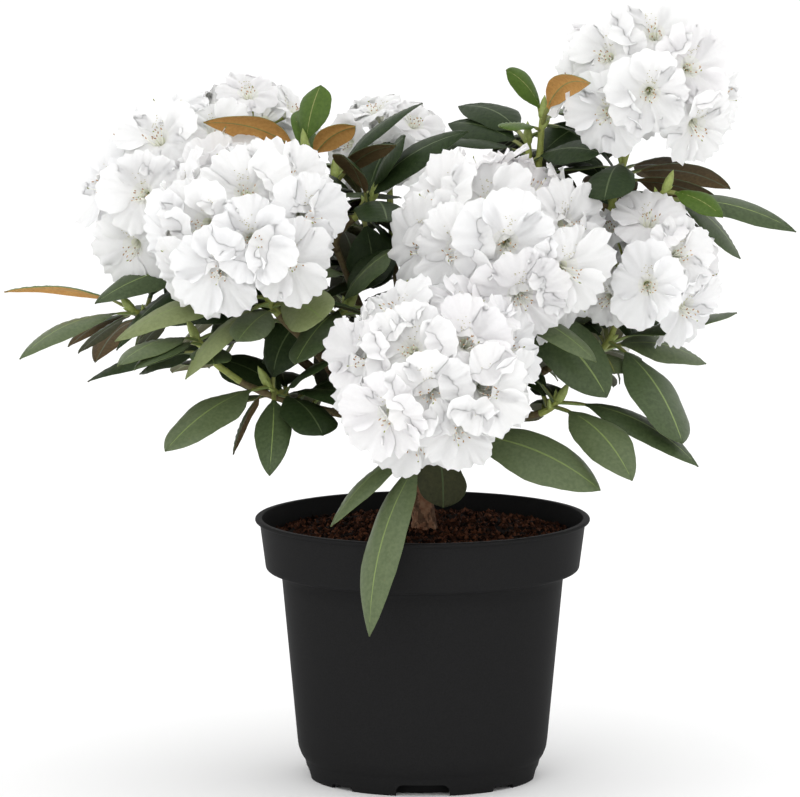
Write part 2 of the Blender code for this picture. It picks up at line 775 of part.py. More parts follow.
def place_leaves(grown, placed):
    """Every leaf of every mass: first those that show from the front, then the rule's."""
    leaves = {name: [] for name in grown}

    def keep(name, leaf):
        if leaf:
            leaves[name].append(leaf)
            placed[name].append(skin_tree(leaf_skin(leaf)))

    for name, shoots in grown.items():
        for shoot, _, path in shoots:
            for number, row in enumerate(shoot.leaves):
                base = down_twig(path, WHORL_STEP * (number % WHORL_ROWS + 0.5))
                keep(name, place_shown_leaf(base, path[-1], row, placed, name))
    seed = SEED
    for name, shoots in grown.items():
        for shoot, axis, path in shoots:
            for number in range(shoot.more):
                seed += 1
                base = down_twig(path, RULE_STEP * (number + 0.5))
                azimuth = shoot.whorl[0] + number * GOLDEN_ANGLE
                keep(name, place_rule_leaf(base, axis, azimuth, seed, not shoot.leaves, placed, name))
    return leaves


def largest_body(mesh):
    """Drops loose scraps and fills sealed hollows by keeping only the main outer surface."""
    body = bmesh.new()
    body.from_mesh(mesh)
    bmesh.ops.triangulate(body, faces=body.faces)
    waiting, shells = set(body.faces), []
    while waiting:
        shell, edge = set(), [waiting.pop()]
        while edge:
            face = edge.pop()
            shell.add(face)
            for neighbour in (f for e in face.edges for f in e.link_faces):
                if neighbour in waiting:
                    waiting.remove(neighbour)
                    edge.append(neighbour)
        shells.append(shell)
    keep = max(shells, key=len)
    spare = [face for shell in shells if shell is not keep for face in shell]
    bmesh.ops.delete(body, geom=spare, context="FACES")
    body.to_mesh(mesh)
    body.free()


def fuse(name, pieces, foot, collection, workshop):
    """One Boolean union joins the pieces, and their objects are then removed."""
    base, *others = pieces
    workshop.objects.unlink(base)
    collection.objects.link(base)
    union = base.modifiers.new("union", "BOOLEAN")
    union.operation = "UNION"
    union.operand_type = "COLLECTION"
    union.collection = workshop
    union.solver = "EXACT"
    union.material_mode = "TRANSFER"
    mesh = evaluated_mesh(base)
    largest_body(mesh)
    base.modifiers.clear()
    base.data = mesh
    base.name = name
    mesh.name = name
    for piece in others:
        bpy.data.objects.remove(piece)
    set_origin(base, foot * MM)
    return base


def make_masses(parts, limbs, paths, materials):
    workshops, pieces, grown = {}, {}, {}
    placed = {"limbs": [object_tree(limb) for limb in limbs.values()]}
    for name, (bough, shoots) in MASSES.items():
        workshops[name] = new_collection(f"{name}_pieces")
        twigs, grown[name] = grow_twigs(name, paths[bough], shoots, workshops[name], materials["bark"])
        pieces[name] = twigs
        placed[name] = [object_tree(twig) for twig in pieces[name]]
    for name, shoots in grown.items():
        for number, (shoot, axis, _) in enumerate(shoots):
            if shoot.truss:
                truss_name = f"{name}_truss_{number}"
                truss = make_truss(truss_name, shoot.truss, axis, name, placed, workshops[name],
                                   materials["petal"])
                pieces[name] += truss
                placed[name] += [object_tree(piece) for piece in truss]
    leaves = place_leaves(grown, placed)
    for name, group in pieces.items():
        for number, leaf in enumerate(leaves[name]):
            leaf_name = f"{name}_leaf_{number}"
            group.append(skin_object(leaf_name, leaf_skin(leaf), workshops[name], materials["leaf"]))
        fuse(name, group, paths[MASSES[name][0]][-1], parts, workshops[name])
        bpy.data.collections.remove(workshops[name])
    return leaves


def main():
    clear_scene()
    parts = new_collection("potted_rhododendron")
    guides = new_collection("guides")
    materials = make_materials()
    make_pot(parts, guides, materials)
    make_soil(parts, materials)
    limbs, paths = make_limbs(parts, guides, materials)
    make_masses(parts, limbs, paths, materials)


main()
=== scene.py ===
"""The looks of a rhododendron in full flower, in a round nursery pot.

The tables are in millimetres and the scene is in metres, +Z up. The trunk, boughs, twigs, leaves
and florets follow the same tables and the same seeded rule as the part's solids, and are finer:
leaves with their own outline, midrib and turned-down margins, florets of five frilled lobes with
stamens and freckles, flaking bark, and peat with crumbs and fibres.
"""
import json
import math
import random
from collections import namedtuple

import bpy
import numpy as np
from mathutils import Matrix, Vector, noise
from mathutils.bvhtree import BVHTree
from mathutils.geometry import intersect_point_line

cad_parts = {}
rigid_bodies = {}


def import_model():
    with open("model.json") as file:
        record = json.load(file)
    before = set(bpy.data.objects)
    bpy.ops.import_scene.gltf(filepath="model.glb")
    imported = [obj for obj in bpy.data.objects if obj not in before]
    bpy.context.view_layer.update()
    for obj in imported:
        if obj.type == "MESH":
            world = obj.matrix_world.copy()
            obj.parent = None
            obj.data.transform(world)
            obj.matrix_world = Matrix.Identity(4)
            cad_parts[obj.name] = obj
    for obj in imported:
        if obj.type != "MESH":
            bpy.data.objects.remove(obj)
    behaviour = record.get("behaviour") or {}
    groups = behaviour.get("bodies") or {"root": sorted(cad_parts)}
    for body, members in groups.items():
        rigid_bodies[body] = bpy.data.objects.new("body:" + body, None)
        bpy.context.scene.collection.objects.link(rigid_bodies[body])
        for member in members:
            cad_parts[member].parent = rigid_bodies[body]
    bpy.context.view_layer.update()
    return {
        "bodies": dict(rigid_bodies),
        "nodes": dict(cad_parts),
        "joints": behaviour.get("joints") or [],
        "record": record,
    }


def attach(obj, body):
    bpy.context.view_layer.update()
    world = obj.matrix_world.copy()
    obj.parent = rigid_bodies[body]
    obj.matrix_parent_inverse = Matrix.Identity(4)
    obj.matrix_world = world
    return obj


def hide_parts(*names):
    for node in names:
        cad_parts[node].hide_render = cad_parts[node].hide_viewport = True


MM = 0.001
GAP = 0.3
GOLDEN_ANGLE = math.radians(137.508)
FRONT = Vector((0, -1, 0))
UP = Vector((0, 0, 1))
PIECE_LIMIT = 190000
BODY = "root"

# Pot
POT_SIDES = 160
POT_HEIGHT = 180.0
LIP_RADIUS = 115.0
LIP_DEPTH = 2.6
BAND_TOP_RADIUS = 111.8
BAND_FOOT_RADIUS = 107.9
BAND_FOOT_HEIGHT = 144.0
BAND_CORNER = 3.0
BODY_TOP_RADIUS = 96.5
BODY_TOP_HEIGHT = 137.0
BODY_FOOT_RADIUS = 86.1
BODY_FOOT_HEIGHT = 26.0
HEEL_RADIUS = 83.4
HEEL_HEIGHT = 15.0
FOOT_TOP_RADIUS = 81.0
FOOT_TOP_HEIGHT = 12.7
FOOT_RADIUS = 78.2
WALL = 1.6
FOOT_WALL = 2.4
FLOOR_TOP = 11.5
FLOOR_UNDER = 9.5
INNER_RING_RADIUS = 66.0
PAD_RADIUS = 13.0
LARGE_NOTCH = (36.5, 8.0, 5.0)
SMALL_NOTCH = (19.0, 3.0, 1.5)
NOTCH_REACH = (70.0, 90.0)
NOTCH_ARC_POINTS = 6
POT_SHARP = 32

# Bends in the pot's outer side, as steps out and up from its named corners
LIP_BEND = ((0.6, 0), (0, -0.8))
BAND_BEND = ((3.4, 6.2), (1.3, 4.4), (0.3, 1.6), (-0.1, -1.5))
BODY_FOOT_BEND = ((0, 0), (-0.7, -5.0))
HEEL_BEND = ((0.2, 1.2), (-0.8, -0.4))
FOOT_TOP_BEND = ((0.5, 0.4), (0, -0.4))
FOOT_EDGE_BEND = ((0.2, 0.8), (-0.4, 0))

# Soil
SOIL_TOP = 172.0
SOIL_EDGE_HEIGHT = 165.0
SOIL_SHOULDERS = ((70.0, 171.0), (96.0, 168.5))
SOIL_UNDER = 150.0
SOIL_RINGS = 56
SOIL_SPOKES = 150
SOIL_SHARP = 40
SOIL_UNDER_RADIUS = 60
SOIL_EDGE_INSET = 2.0
SOIL_INNER_RADIUS = 2
LUMP_SCALE = 0.09
LUMP_NOISE = (0.7, 2.1, 5)
LUMP_HEIGHT = 1.9
LUMP_FADE = 6
LUMP_LEAST = 0.3
CRUMBS = 2600
CRUMB_INSET = 3
CRUMB_SIZE = (0.9, 2.6)
CRUMB_CORNER = (0.6, 1.3)
CRUMB_LIFT = 0.3
FIBRES = 420
FIBRE_INSET = 8
FIBRE_LENGTH = (3, 9)
FIBRE_RISE = (0.2, 2.4)
FIBRE_END_RISE = 0.3
FIBRE_RADII = (0.15, 0.32, 0.12)

# Limbs, each from its foot to its tip
Limb = namedtuple("Limb", "name parent points foot_radius tip_radius")
TRUNK_POINTS = ((1, 0, SOIL_TOP + GAP), (1, 0, 179), (-1.5, 0, 199), (-12, 2, 219), (-16, 4, 236))
TRUNK_RADII = (9.5, 7.9, 7.3, 6.6, 6.0)
BOUGHS = (
    Limb("bough_front", "trunk", ((-7, 1, 209), (-8, -24, 226), (-2, -52, 240)), 3.6, 2.7),
    Limb("bough_left", "trunk", ((-10, 1.5, 214), (-38, 0, 243), (-68, 3, 276), (-105, 5, 303)), 4.4, 2.9),
    Limb("bough_lower_left", "bough_left", ((-30, 0.5, 241), (-44, -18, 250), (-62, -35, 258)), 3.2, 2.6),
    Limb("bough_left_front", "bough_left", ((-52, 2, 264), (-62, -20, 283), (-72, -45, 300)), 3.3, 2.6),
    Limb("bough_back_left", "bough_left", ((-60, 3, 271), (-72, 38, 298), (-86, 74, 322)), 3.3, 2.6),
    Limb("bough_right", "trunk", ((-14, 3, 227), (12, -3, 243), (48, -10, 263), (84, -16, 284)), 4.2, 2.9),
    Limb("bough_centre", "bough_right", ((14, -3.5, 244), (24, -14, 272), (31, -22, 300)), 3.3, 2.6),
    Limb("bough_lower_right", "bough_right", ((38, -8, 257), (50, -22, 256), (62, -34, 256)), 3.1, 2.6),
    Limb("bough_leader", None, ((-17.5, 5, 243), (-10, 6, 262), (15, 8, 300), (60, 15, 360)), 5.2, 2.9),
    Limb("bough_top_left", "bough_leader", ((-12, 6, 258), (-30, 12, 292), (-47, 20, 333)), 3.4, 2.6),
    Limb("bough_back", "bough_leader", ((-4, 7, 271), (-10, 38, 294), (-15, 78, 314)), 3.4, 2.6),
    Limb("bough_back_right", "bough_leader", ((20, 9, 307), (46, 32, 316), (74, 58, 324)), 3.0, 2.6),
    Limb("bough_top_right", "bough_leader", ((33, 11, 326), (62, 8, 334), (94, 4, 346)), 2.8, 2.6),
)
LIMB_STEPS = 3

# Bark: sides of the tube, depth of the relief and the step between rings
TRUNK_BARK = (56, 1.1, 0.9)
BOUGH_BARK = (24, 0.45, 1.6)
TWIG_BARK = (12, 0.22, 2.0)
TRUNK_STEPS = 4
BARK_SCALE = 0.22
BARK_STRETCH = 0.35
BARK_NOISE = (0.6, 2.1, 4)
LEAST_RINGS = 6
PATH_SMOOTHING = 3
FLAKE_OVER = 0.18

# Twigs of a mass
TWIG_FOOT_RADIUS = 2.6
TWIG_TIP_RADIUS = 2.2
TWIG_STRAIGHT = 4.0
TWIG_STEPS = 4
FORK_AT = 0.3
SHOOT_RISE = 1.2
TEST_SIDES = 6
GREEN_FROM = 0.55
TRUSS_GREEN_FROM = 0.35

# Buds: the scales' edges against a bud's length and radius, and the two buds' length and radius
BUD_HEIGHTS = (0.0, 0.12, 0.3, 0.34, 0.55, 0.6, 0.78, 0.82, 0.94, 1.0)
BUD_WIDTHS = (0.45, 0.85, 1.0, 0.93, 0.88, 0.78, 0.55, 0.46, 0.16, 0.03)
BUD_SIDES = 10
END_BUD = (17, 3.4)
END_BUD_SINK = 2
SIDE_BUD = (10, 1.8)
SIDE_BUDS = 2
SIDE_BUD_FROM = 3
SIDE_BUD_STEP = 6
SIDE_BUD_LEAN = 1.4

# Leaves: how far along a leaf each section is, and how wide against its full width
SHOWN_OUTLINE = ((0.17, 0.0), (0.45, 1.0), (0.76, 0.78))
RULE_OUTLINE = ((0.5, 1.0),)
PETIOLE_END = 0.17
PETIOLE_WIDTH = 3.4
LEAF_THICKNESS = 2.0
LEAF_EDGE_DROP = 0.16
WHORL_STEP = 4.0
WHORL_ROWS = 6
BLADE_START = 0.24
CLEARANCE = 0.6
ARCHES = (0.1, 0.16, 0.05, 0.22)
SHIFTS = (
    (0, 0), (-9, 0), (9, 0), (0, -7), (0, 7), (-18, 0), (18, 0), (-9, -9), (9, -9), (-9, 9),
    (-28, 0), (28, 0), (-18, -14), (18, -14), (-38, 0), (38, 0),
)
RULE_WIDTH = (0.3, 0.36)
RULE_RISE = (-12, 22)
RULE_SAG = 0.38
RULE_STRAY = 0.5
BACKWARD = 0.1
CROWN_SPACE = ((-250, 216), (-150, 215), (200, 440))
CROWN_SKIRT = (60, 225, 0.32)
SEED = 4107

# The rule's leaves: the solids' own, as many as each shoot says, and then smaller ones between them
Rule = namedtuple("Rule", "seed count step turn_by lengths tries")
RULES = (
    Rule(SEED, None, 7.0, 0, (80, 108), 5),
    Rule(9000, 9, 4.0, 1, (52, 84), 12),
)

# Trusses: middle, radius across, depth against that radius, number of florets
Truss = namedtuple("Truss", "middle radius depth florets")
DOME_EDGE = math.radians(116)
FLORET_FOOT = 0.3
FLORET_LOBE = (0.86, 0.44)
FLORET_CLEFT = (0.88, 0.28)
FLORET_THROAT = 0.64
FLORET_SIZES = (1.0, 0.9, 0.8, 0.7, 0.6)
FLORET_MARGIN = 0.02
LOBES = 5
DRAWN_FLORETS = 1.4

# A shoot: its whorl's place, its truss or None, the leaves that show, and how many the rule adds
# A leaf that shows: its tip's reach right, back and up, width, turn to the front in degrees, tint
Shoot = namedtuple("Shoot", "whorl truss leaves more")
# A leaf's tint also holds painted shade where it lies in the crown's shadow and painted sheen where it is
# glossy.
MASSES = {
    "mass_front": ("bough_front", (
        Shoot((11, -93, 253), Truss((6, -142, 301), 65, 0.76, 12), (
            (-47, -55, -130, 31, 0, "pale_and_sheen"), (108, -18, -37, 46, 40, "pale_and_sheen"),
            (-73, -22, -61, 28, 0, "pale_and_sheen"), (3, 28, -56, 34, 0, "dark"),
        ), 5),
    )),
    "mass_left_front": ("bough_left_front", (
        Shoot((-106, -66, 342), Truss((-121, -94, 393), 65, 0.62, 12), (
            (-101, -25, -28, 30, 25, "light"), (-53, -50, -50, 30, 0, "light"),
            (39, -48, -10, 36, 45, "light"), (-18, -45, -24, 26, 20, "pale_and_sheen"),
        ), 5),
        Shoot((-50, -32, 330), None, (
            (-36, -58, -30, 32, 0, "mid"), (27, 45, 33, 28, 0, "dark"),
            (30, -12, 40, 30, 25, "mid"), (-60, 12, -40, 34, 30, "dark"),
            (-16, 22, -72, 34, 30, "dark"),
        ), 5),
    )),
    "mass_centre": ("bough_centre", (
        Shoot((44, -44, 335), Truss((57, -62, 377), 72, 0.68, 12), (
            (80, -33, -61, 42, 35, "mid"), (72, -60, -33, 30, 0, "pale_and_sheen"),
        ), 5),
    )),
    "mass_right": ("bough_right", (
        Shoot((128, -20, 306), Truss((142, -26, 350), 58, 1.00, 11), (
            (47, -66, -62, 44, 0, "mid"), (87, 40, 29, 34, 0, "mid"),
            (67, 42, -23, 30, 35, "pale_and_sheen"), (2, -62, -19, 34, 0, "olive"),
        ), 5),
    )),
    "mass_top_right": ("bough_top_right", (
        Shoot((137, 0, 425), Truss((152, 0, 473), 60, 1.02, 11), (
            (-15, -68, -18, 34, 0, "dark"), (48, 66, -20, 28, -40, "brown"),
            (75, 48, -24, 28, -40, "brown"), (68, 24, -32, 26, -35, "brown"),
        ), 5),
        Shoot((165, -18, 408), None, (
            (38, -24, -16, 17, 35, "young"), (53, 38, -52, 30, 35, "mid"),
            (90, 18, -31, 22, 40, "mid"),
        ), 2),
    )),
    "mass_left": ("bough_left", (
        Shoot((-140, 20, 352), Truss((-164, 24, 397), 65, 1.12, 11), (
            (-83, -45, -21, 30, 20, "mid"), (-68, -60, -51, 26, 0, "dark"),
        ), 5),
        Shoot((-198, -10, 324), None, (
            (-89, 30, 9, 18, -25, "rust"), (-75, -45, -27, 26, 0, "pale_and_sheen"),
            (-47, 60, -33, 26, 0, "brown"), (-29, 75, -46, 28, 0, "brown"),
        ), 4),
    )),
    "mass_lower_left": ("bough_lower_left", (
        Shoot((-105, -50, 279), None, (
            (-68, -58, -37, 36, 10, "pale_and_sheen"), (2, -62, -53, 25, 0, "mid"),
            (38, -52, -27, 36, 0, "dark"), (45, -42, 22, 34, 30, "dark"),
            (-54, 45, -30, 30, 0, "olive"), (-35, 50, 10, 30, 35, "dark"),
            (-24, 40, -50, 20, 0, "brown"), (20, 34, 42, 34, 35, "dark"),
        ), 5),
        Shoot((-153, -60, 312), None, (
            (-51, -62, -10, 26, 0, "pale_and_sheen"), (-40, -70, -13, 20, 0, "mid"),
            (13, -72, -10, 28, 0, "mid"), (-75, 30, -34, 24, 25, "brown"),
            (-41, 66, -34, 26, 35, "brown"),
        ), 4),
    )),
    "mass_lower_right": ("bough_lower_right", (
        Shoot((92, -50, 268), None, (
            (94, -28, -41, 32, 20, "mid"), (48, -70, -44, 34, 15, "pale_and_sheen"),
        ), 5),
    )),
    "mass_top_left": ("bough_top_left", (
        Shoot((-80, 30, 430), None, (
            (10, 14, 43, 25, 0, "young"), (-69, -20, 23, 22, -60, "rust"),
            (34, -25, 19, 20, -40, "rust"), (-5, 28, 24, 20, -30, "rust"),
            (24, -46, -20, 28, -20, "brown"),
        ), 2),
        Shoot((-60, 30, 411), None, (
            (60, 48, 46, 20, 0, "dark"), (42, -52, 28, 18, -20, "brown"),
        ), 5),
        Shoot((-34, 20, 398), None, (
            (66, 58, 36, 28, 10, "dark"), (10, -68, -8, 38, 0, "dark"),
            (16, 68, 34, 28, 0, "dark"), (0, -14, -62, 34, 30, "dark"),
            (34, 4, -62, 32, 30, "dark"), (65, -20, 48, 32, 35, "dark"),
            (22, -10, 44, 28, 35, "dark"), (-20, -15, 34, 28, 35, "brown"),
        ), 5),
    )),
    "mass_top": ("bough_leader", (
        Shoot((82, 20, 454), None, (
            (-25, -10, 33, 18, 60, "young"), (30, -70, 33, 18, -50, "rust"),
            (-30, -20, -5, 16, 20, "young"),
        ), 2),
        Shoot((72, 20, 436), None, (
            (-47, 66, 18, 28, 25, "dark"), (-54, 56, 7, 28, 25, "dark"),
            (-67, 42, -3, 26, 0, "dark"), (49, -46, -2, 28, 30, "dark"),
            (48, 58, 8, 28, 30, "dark"),
        ), 5),
    )),
    "mass_back_left": ("bough_back_left", (
        Shoot((-106, 96, 384), Truss((-120, 112, 429), 47, 0.95, 7), (), 7),
        Shoot((-112, 118, 320), Truss((-132, 150, 345), 50, 0.9, 7), (), 7),
    )),
    "mass_back": ("bough_back", (
        Shoot((-22, 102, 378), Truss((-24, 118, 418), 45, 0.95, 7), (), 7),
        Shoot((34, 122, 310), Truss((42, 152, 336), 50, 0.9, 7), (), 7),
    )),
    "mass_back_right": ("bough_back_right", (
        Shoot((112, 84, 372), None, (), 8),
        Shoot((100, 80, 300), Truss((124, 102, 322), 44, 0.9, 7), (), 7),
    )),
}

# A leaf in its place, by the table or the rule
Leaf = namedtuple("Leaf", "base tip width arch face outline tint")

# Colours: two near shades that a fine mottle mixes, roughness, relief in mm, and shine
LOOKS = {
    "pot": ((0.015, 0.015, 0.0153), (0.0175, 0.0175, 0.0178), 0.5, 0.03, 0.01),
    "soil_dark": ((0.005, 0.0025, 0.0015), (0.009, 0.004, 0.0025), 0.95, 0.3, 0.05),
    "soil_brown": ((0.022, 0.008, 0.004), (0.05, 0.018, 0.009), 0.95, 0.3, 0.1),
    "soil_red": ((0.12, 0.044, 0.02), (0.07, 0.024, 0.012), 0.9, 0.2, 0.15),
    "bark": ((0.15, 0.085, 0.05), (0.07, 0.035, 0.02), 0.88, 0.25, 0.25),
    "bark_flake": ((0.3, 0.17, 0.1), (0.19, 0.09, 0.05), 0.85, 0.25, 0.25),
    "bark_young": ((0.13, 0.105, 0.042), (0.095, 0.065, 0.032), 0.7, 0.12, 0.3),
    "stem": ((0.3, 0.345, 0.075), (0.23, 0.26, 0.062), 0.5, 0.05, 0.4),
    "bud": ((0.33, 0.4, 0.11), (0.25, 0.3, 0.08), 0.45, 0.08, 0.4),
    # Upper-side greens: leaf colour plus painted light, the darkest painted shade, mid and pale greyed as
    # painted sheen.
    "leaf_dark_and_shade": ((0.017, 0.031, 0.01), (0.027, 0.045, 0.015), 0.45, 0.05, 0.15),
    "leaf_mid_and_sheen": ((0.046, 0.07, 0.026), (0.066, 0.096, 0.038), 0.44, 0.05, 0.3),
    "leaf_pale_and_sheen": ((0.08, 0.112, 0.046), (0.108, 0.142, 0.062), 0.45, 0.05, 0.36),
    "leaf_light": ((0.165, 0.198, 0.076), (0.2, 0.236, 0.096), 0.47, 0.05, 0.36),
    "leaf_young": ((0.054, 0.104, 0.009), (0.072, 0.13, 0.013), 0.46, 0.04, 0.28),
    "under_green": ((0.11, 0.11, 0.048), (0.135, 0.13, 0.056), 0.65, 0.06, 0.3),
    "under_dark": ((0.046, 0.05, 0.024), (0.064, 0.066, 0.03), 0.72, 0.06, 0.25),
    "under_brown": ((0.092, 0.062, 0.027), (0.124, 0.084, 0.036), 0.72, 0.08, 0.2),
    "under_rust": ((0.56, 0.305, 0.09), (0.48, 0.245, 0.07), 0.72, 0.08, 0.25),
    # The rib's colour also goes on every leaf's edge, as a painted highlight along the margin.
    "rib": ((0.2, 0.27, 0.08), (0.17, 0.23, 0.07), 0.45, 0.04, 0.4),
    "rib_dark": ((0.08, 0.115, 0.04), (0.066, 0.095, 0.034), 0.45, 0.04, 0.4),
    "petiole": ((0.26, 0.28, 0.08), (0.205, 0.22, 0.068), 0.5, 0.05, 0.4),
    "petal": ((0.925, 0.923, 0.918), (0.91, 0.908, 0.904), 0.62, 0.05, 0.25),
    "petal_cool": ((0.91, 0.912, 0.918), (0.895, 0.898, 0.906), 0.62, 0.05, 0.25),
    "petal_pink": ((0.92, 0.902, 0.912), (0.9, 0.88, 0.894), 0.62, 0.05, 0.25),
    "throat": ((0.915, 0.915, 0.875), (0.9, 0.902, 0.86), 0.6, 0.04, 0.25),
    "throat_deep": ((0.89, 0.91, 0.7), (0.87, 0.89, 0.66), 0.6, 0.04, 0.25),
    "filament": ((0.9, 0.9, 0.76), (0.87, 0.875, 0.7), 0.5, 0.02, 0.3),
    "anther": ((0.44, 0.27, 0.13), (0.35, 0.2, 0.1), 0.75, 0.05, 0.2),
    "anther_pale": ((0.64, 0.45, 0.29), (0.56, 0.38, 0.24), 0.75, 0.05, 0.2),
    "freckle": ((0.56, 0.52, 0.29), (0.5, 0.45, 0.24), 0.6, 0.02, 0.2),
    "floor": ((0.95, 0.95, 0.95), (0.945, 0.945, 0.945), 0.9, 0.0, 0.0),
}
PETAL_LOOKS = ("petal", "petal_cool", "petal_pink", "throat", "throat_deep")
SOFT_LOOKS = (*PETAL_LOOKS, "filament")
SOFT_WEIGHT = 0.8
SOFT_DEPTH = 2.5
MOTTLE_SCALE = {"pot": 900, "bark": 260, "bark_flake": 260}
DEFAULT_MOTTLE = 420
MOTTLE_DETAIL = 4
MOTTLE_EDGES = (0.35, 0.65)
RELIEF_SCALE = 1600
RELIEF_DETAIL = 3

# A tint's upper side, under side and rib; the rib's colour also goes on the leaf's edge, a painted
# highlight along the margin
TINTS = {
    # The dark and brown tints carry painted shade, the mid, pale and olive tints painted sheen, besides
    # leaf colour.
    "dark": ("leaf_dark_and_shade", "under_dark", "rib_dark"),
    "mid": ("leaf_mid_and_sheen", "under_dark", "rib"),
    "pale_and_sheen": ("leaf_pale_and_sheen", "under_green", "rib"),
    "light": ("leaf_light", "under_green", "rib"),
    "olive": ("leaf_pale_and_sheen", "under_green", "petiole"),
    "young": ("leaf_young", "under_green", "petiole"),
    "rust": ("leaf_young", "under_rust", "petiole"),
    "brown": ("leaf_dark_and_shade", "under_brown", "rib_dark"),
}
# Most rule leaves fill the crown's inside and back and take the dark tint: painted shade as well as leaf
# colour.
RULE_TINTS = ("dark", "dark", "dark", "mid", "mid", "pale_and_sheen", "brown")
LEAF_LOOKS = tuple(look for look in LOOKS if look.startswith(("leaf", "under", "rib", "petiole")))

# Blade outline: half width against the full half width, from the petiole's end to the tip
BLADE_PLACES = (0.0, 0.04, 0.1, 0.2, 0.34, 0.5, 0.64, 0.78, 0.88, 0.95, 0.98, 1.0)
ROUND_WIDTHS = (0.0, 0.15, 0.36, 0.64, 0.88, 0.98, 1.0, 0.93, 0.74, 0.43, 0.2, 0.02)
POINTED_WIDTHS = (0.0, 0.17, 0.42, 0.74, 0.96, 1.0, 0.92, 0.7, 0.46, 0.23, 0.1, 0.01)

# A leaf's width over its length, under which its tip is pointed, and over which it is round
POINTED_UNDER = 0.33
ROUND_OVER = 0.46

# Steps along a leaf and places across it
SHOWN_STEPS = 34
RULE_STEPS = 20
SHOWN_ACROSS = (-1, -0.92, -0.72, -0.48, -0.25, -0.035, 0.035, 0.25, 0.48, 0.72, 0.92, 1)
RULE_ACROSS = (-1, -0.9, -0.5, -0.045, 0.045, 0.5, 0.9, 1)
RIB_HALF = 0.05

# The blade's relief and thickness: lengths in mm, and places across as shares of the half width
BLADE_THICKNESS = 0.7
BLADE_THINNING = 0.5
RIB_THICKNESS = 1.5
RIB_THINNING = 0.8
RIB_SPREAD = 0.09
PETIOLE_THICKNESS = 2.4
PETIOLE_ROUNDING = 0.4
PETIOLE_FADE = (0.7, 1.3)
PETIOLE_SLIMMING = 0.3
TIP_HALF = 0.15
TWIST = 0.25
SWAY = 0.03
MARGIN_ROLL = 0.1
MARGIN_WAVE = 0.035
MARGIN_WAVES = 2.3
WARP = (0.02, 0.06)
WARP_WAVES = 1.7
GROOVE_DEPTH = 0.5
GROOVE_HALF = 0.12
GROOVE_START = 8
VEIN_PAIRS = 9
VEIN_DEPTH = 0.42
VEIN_SLANT = 0.28
VEIN_START = 6
LEAF_SHARP = 50

# A floret at full size: radius and height of the funnel from its foot to the lobe's tip
FUNNEL_RADII = (2.0, 3.0, 5.0, 9.0, 14.5, 21.0, 26.5, 31.0)
FUNNEL_HEIGHTS = (6.5, 11.5, 15.8, 18.8, 20.7, 21.8, 22.4, 22.2)
FUNNEL_PLACES = (0.0, 0.15, 0.3, 0.45, 0.6, 0.75, 0.88, 1.0)
FLORET_RADIUS = 31.0
FLORET_SPREAD = 1.07
FLORET_DEPTH = 22.6
FLORET_LAYER = 2.5
LOBE_ROWS = (0.0, 0.22, 0.42, 0.6, 0.76, 0.88, 0.95, 1.0)
LOBE_COLUMNS = 23
BACK_ROWS = (0.0, 0.25, 0.5, 0.7, 0.85, 0.95, 1.0)
BACK_COLUMNS = 13
BACK_FROM = 60.0
LOBE_FOOT_HALF = math.radians(37)
LOBE_TIP_HALF = math.radians(53)
LOBE_FLARE = (0.3, 0.9)
LOBE_ROUNDING = 0.34
LOBE_OVERLAP = 1.5
LOBE_OVERLAP_RISE = (0.25, 0.7)
LOBE_REACH = (-0.08, 0.18)
LOBE_NICK = (0.12, 0.2, 0.14)
LOBE_CURL = (-6, 3)
LOBE_FOLDS = 0.7
FRINGE = 0.6
FRINGE_POWER = 6
PETAL_THICKNESS = 0.35
PETAL_SHARP = 60
PETAL_CHOICE = (0, 0, 0, 1, 2)
THROAT_LOOKS = ("throat_deep", "throat")

# Waves of a lobe's margin: least and most of them, the power they grow by, and their share
FRILL = 2.2
FRILL_WAVES = ((0.9, 1.4, 2, 0.45), (1.9, 2.6, 4, 0.5), (3.2, 3.9, 7, 0.5))
RIPPLE = 0.8
RIPPLE_POWER = 7

# How a floret strays from the rule, how far it turns to the front, and its pedicel and calyx
FLORET_STRAY = 0.15
FLORET_FACING = 0.4
FLORET_TURN = 0.3
PEDICEL_FROM = 0.15
PEDICEL_BEND = 3
PEDICEL_RADIUS = 0.9
PEDICEL_STEPS = 3
CALYX_HEIGHT = 7.5
CALYX_RADIUS = 2.4

# Stamens, the style and the freckles, in the floret's own frame
INNER_LOOKS = ("filament", "anther", "anther_pale", "freckle", "stem")
STAMENS = 10
STAMEN_REACH = (3.0, 8.0)
STAMEN_FLATTENING = 0.7
STAMEN_DIP = 2.0
STAMEN_HEIGHT = (20.0, 28.0)
STAMEN_STRAY = 0.3
STAMEN_FOOT = (1.4, 9.0)
STAMEN_KNEE = (0.45, 0.5, 3.0, 14.0)
FILAMENT_RADIUS = 0.3
FILAMENT_FOOT = 1.3
FILAMENT_STEPS = 4
STYLE_REACH = 3
STYLE_TIP = (-5.0, 32.0)
STYLE_RADIUS = 0.38
ANTHER_LEAN = 0.7
ANTHER_RADII = (0.2, 0.52, 0.2)
FRECKLES = 14
FRECKLE_REACH = (0.36, 0.66)
FRECKLE_SPREAD = 0.42
FRECKLE_LIFT = 0.5
FRECKLE_HALF = 0.5
FRECKLE_RADII = (0.1, 0.32, 0.1)

# Studio, with the camera at the photograph's height and distance
PIXEL = 0.685
IMAGE_WIDTH = 800
IMAGE_HEIGHT = 797
POT_AXIS_COLUMN = 422.6
FLOOR_ROW = 777.0
CAMERA_DISTANCE = 5.0
CAMERA_RISE = math.radians(8.3)
SENSOR_WIDTH = 36.0
CLIP_END = 50
FLOOR_REACH = 30
SKY_STRENGTH = 1.18

# Lamps in metres: name, place, size and power, all turned to the same place in the crown
LAMPS = (("key", (-0.7, -2.2, 1.8), 1.3, 8), ("rim", (0.9, 1.2, 2.2), 1.0, 4))
LAMP_TARGET = (0, 0, 0.3)


def add_object(name, data):
    thing = bpy.data.objects.new(name, data)
    bpy.context.scene.collection.objects.link(thing)
    return thing


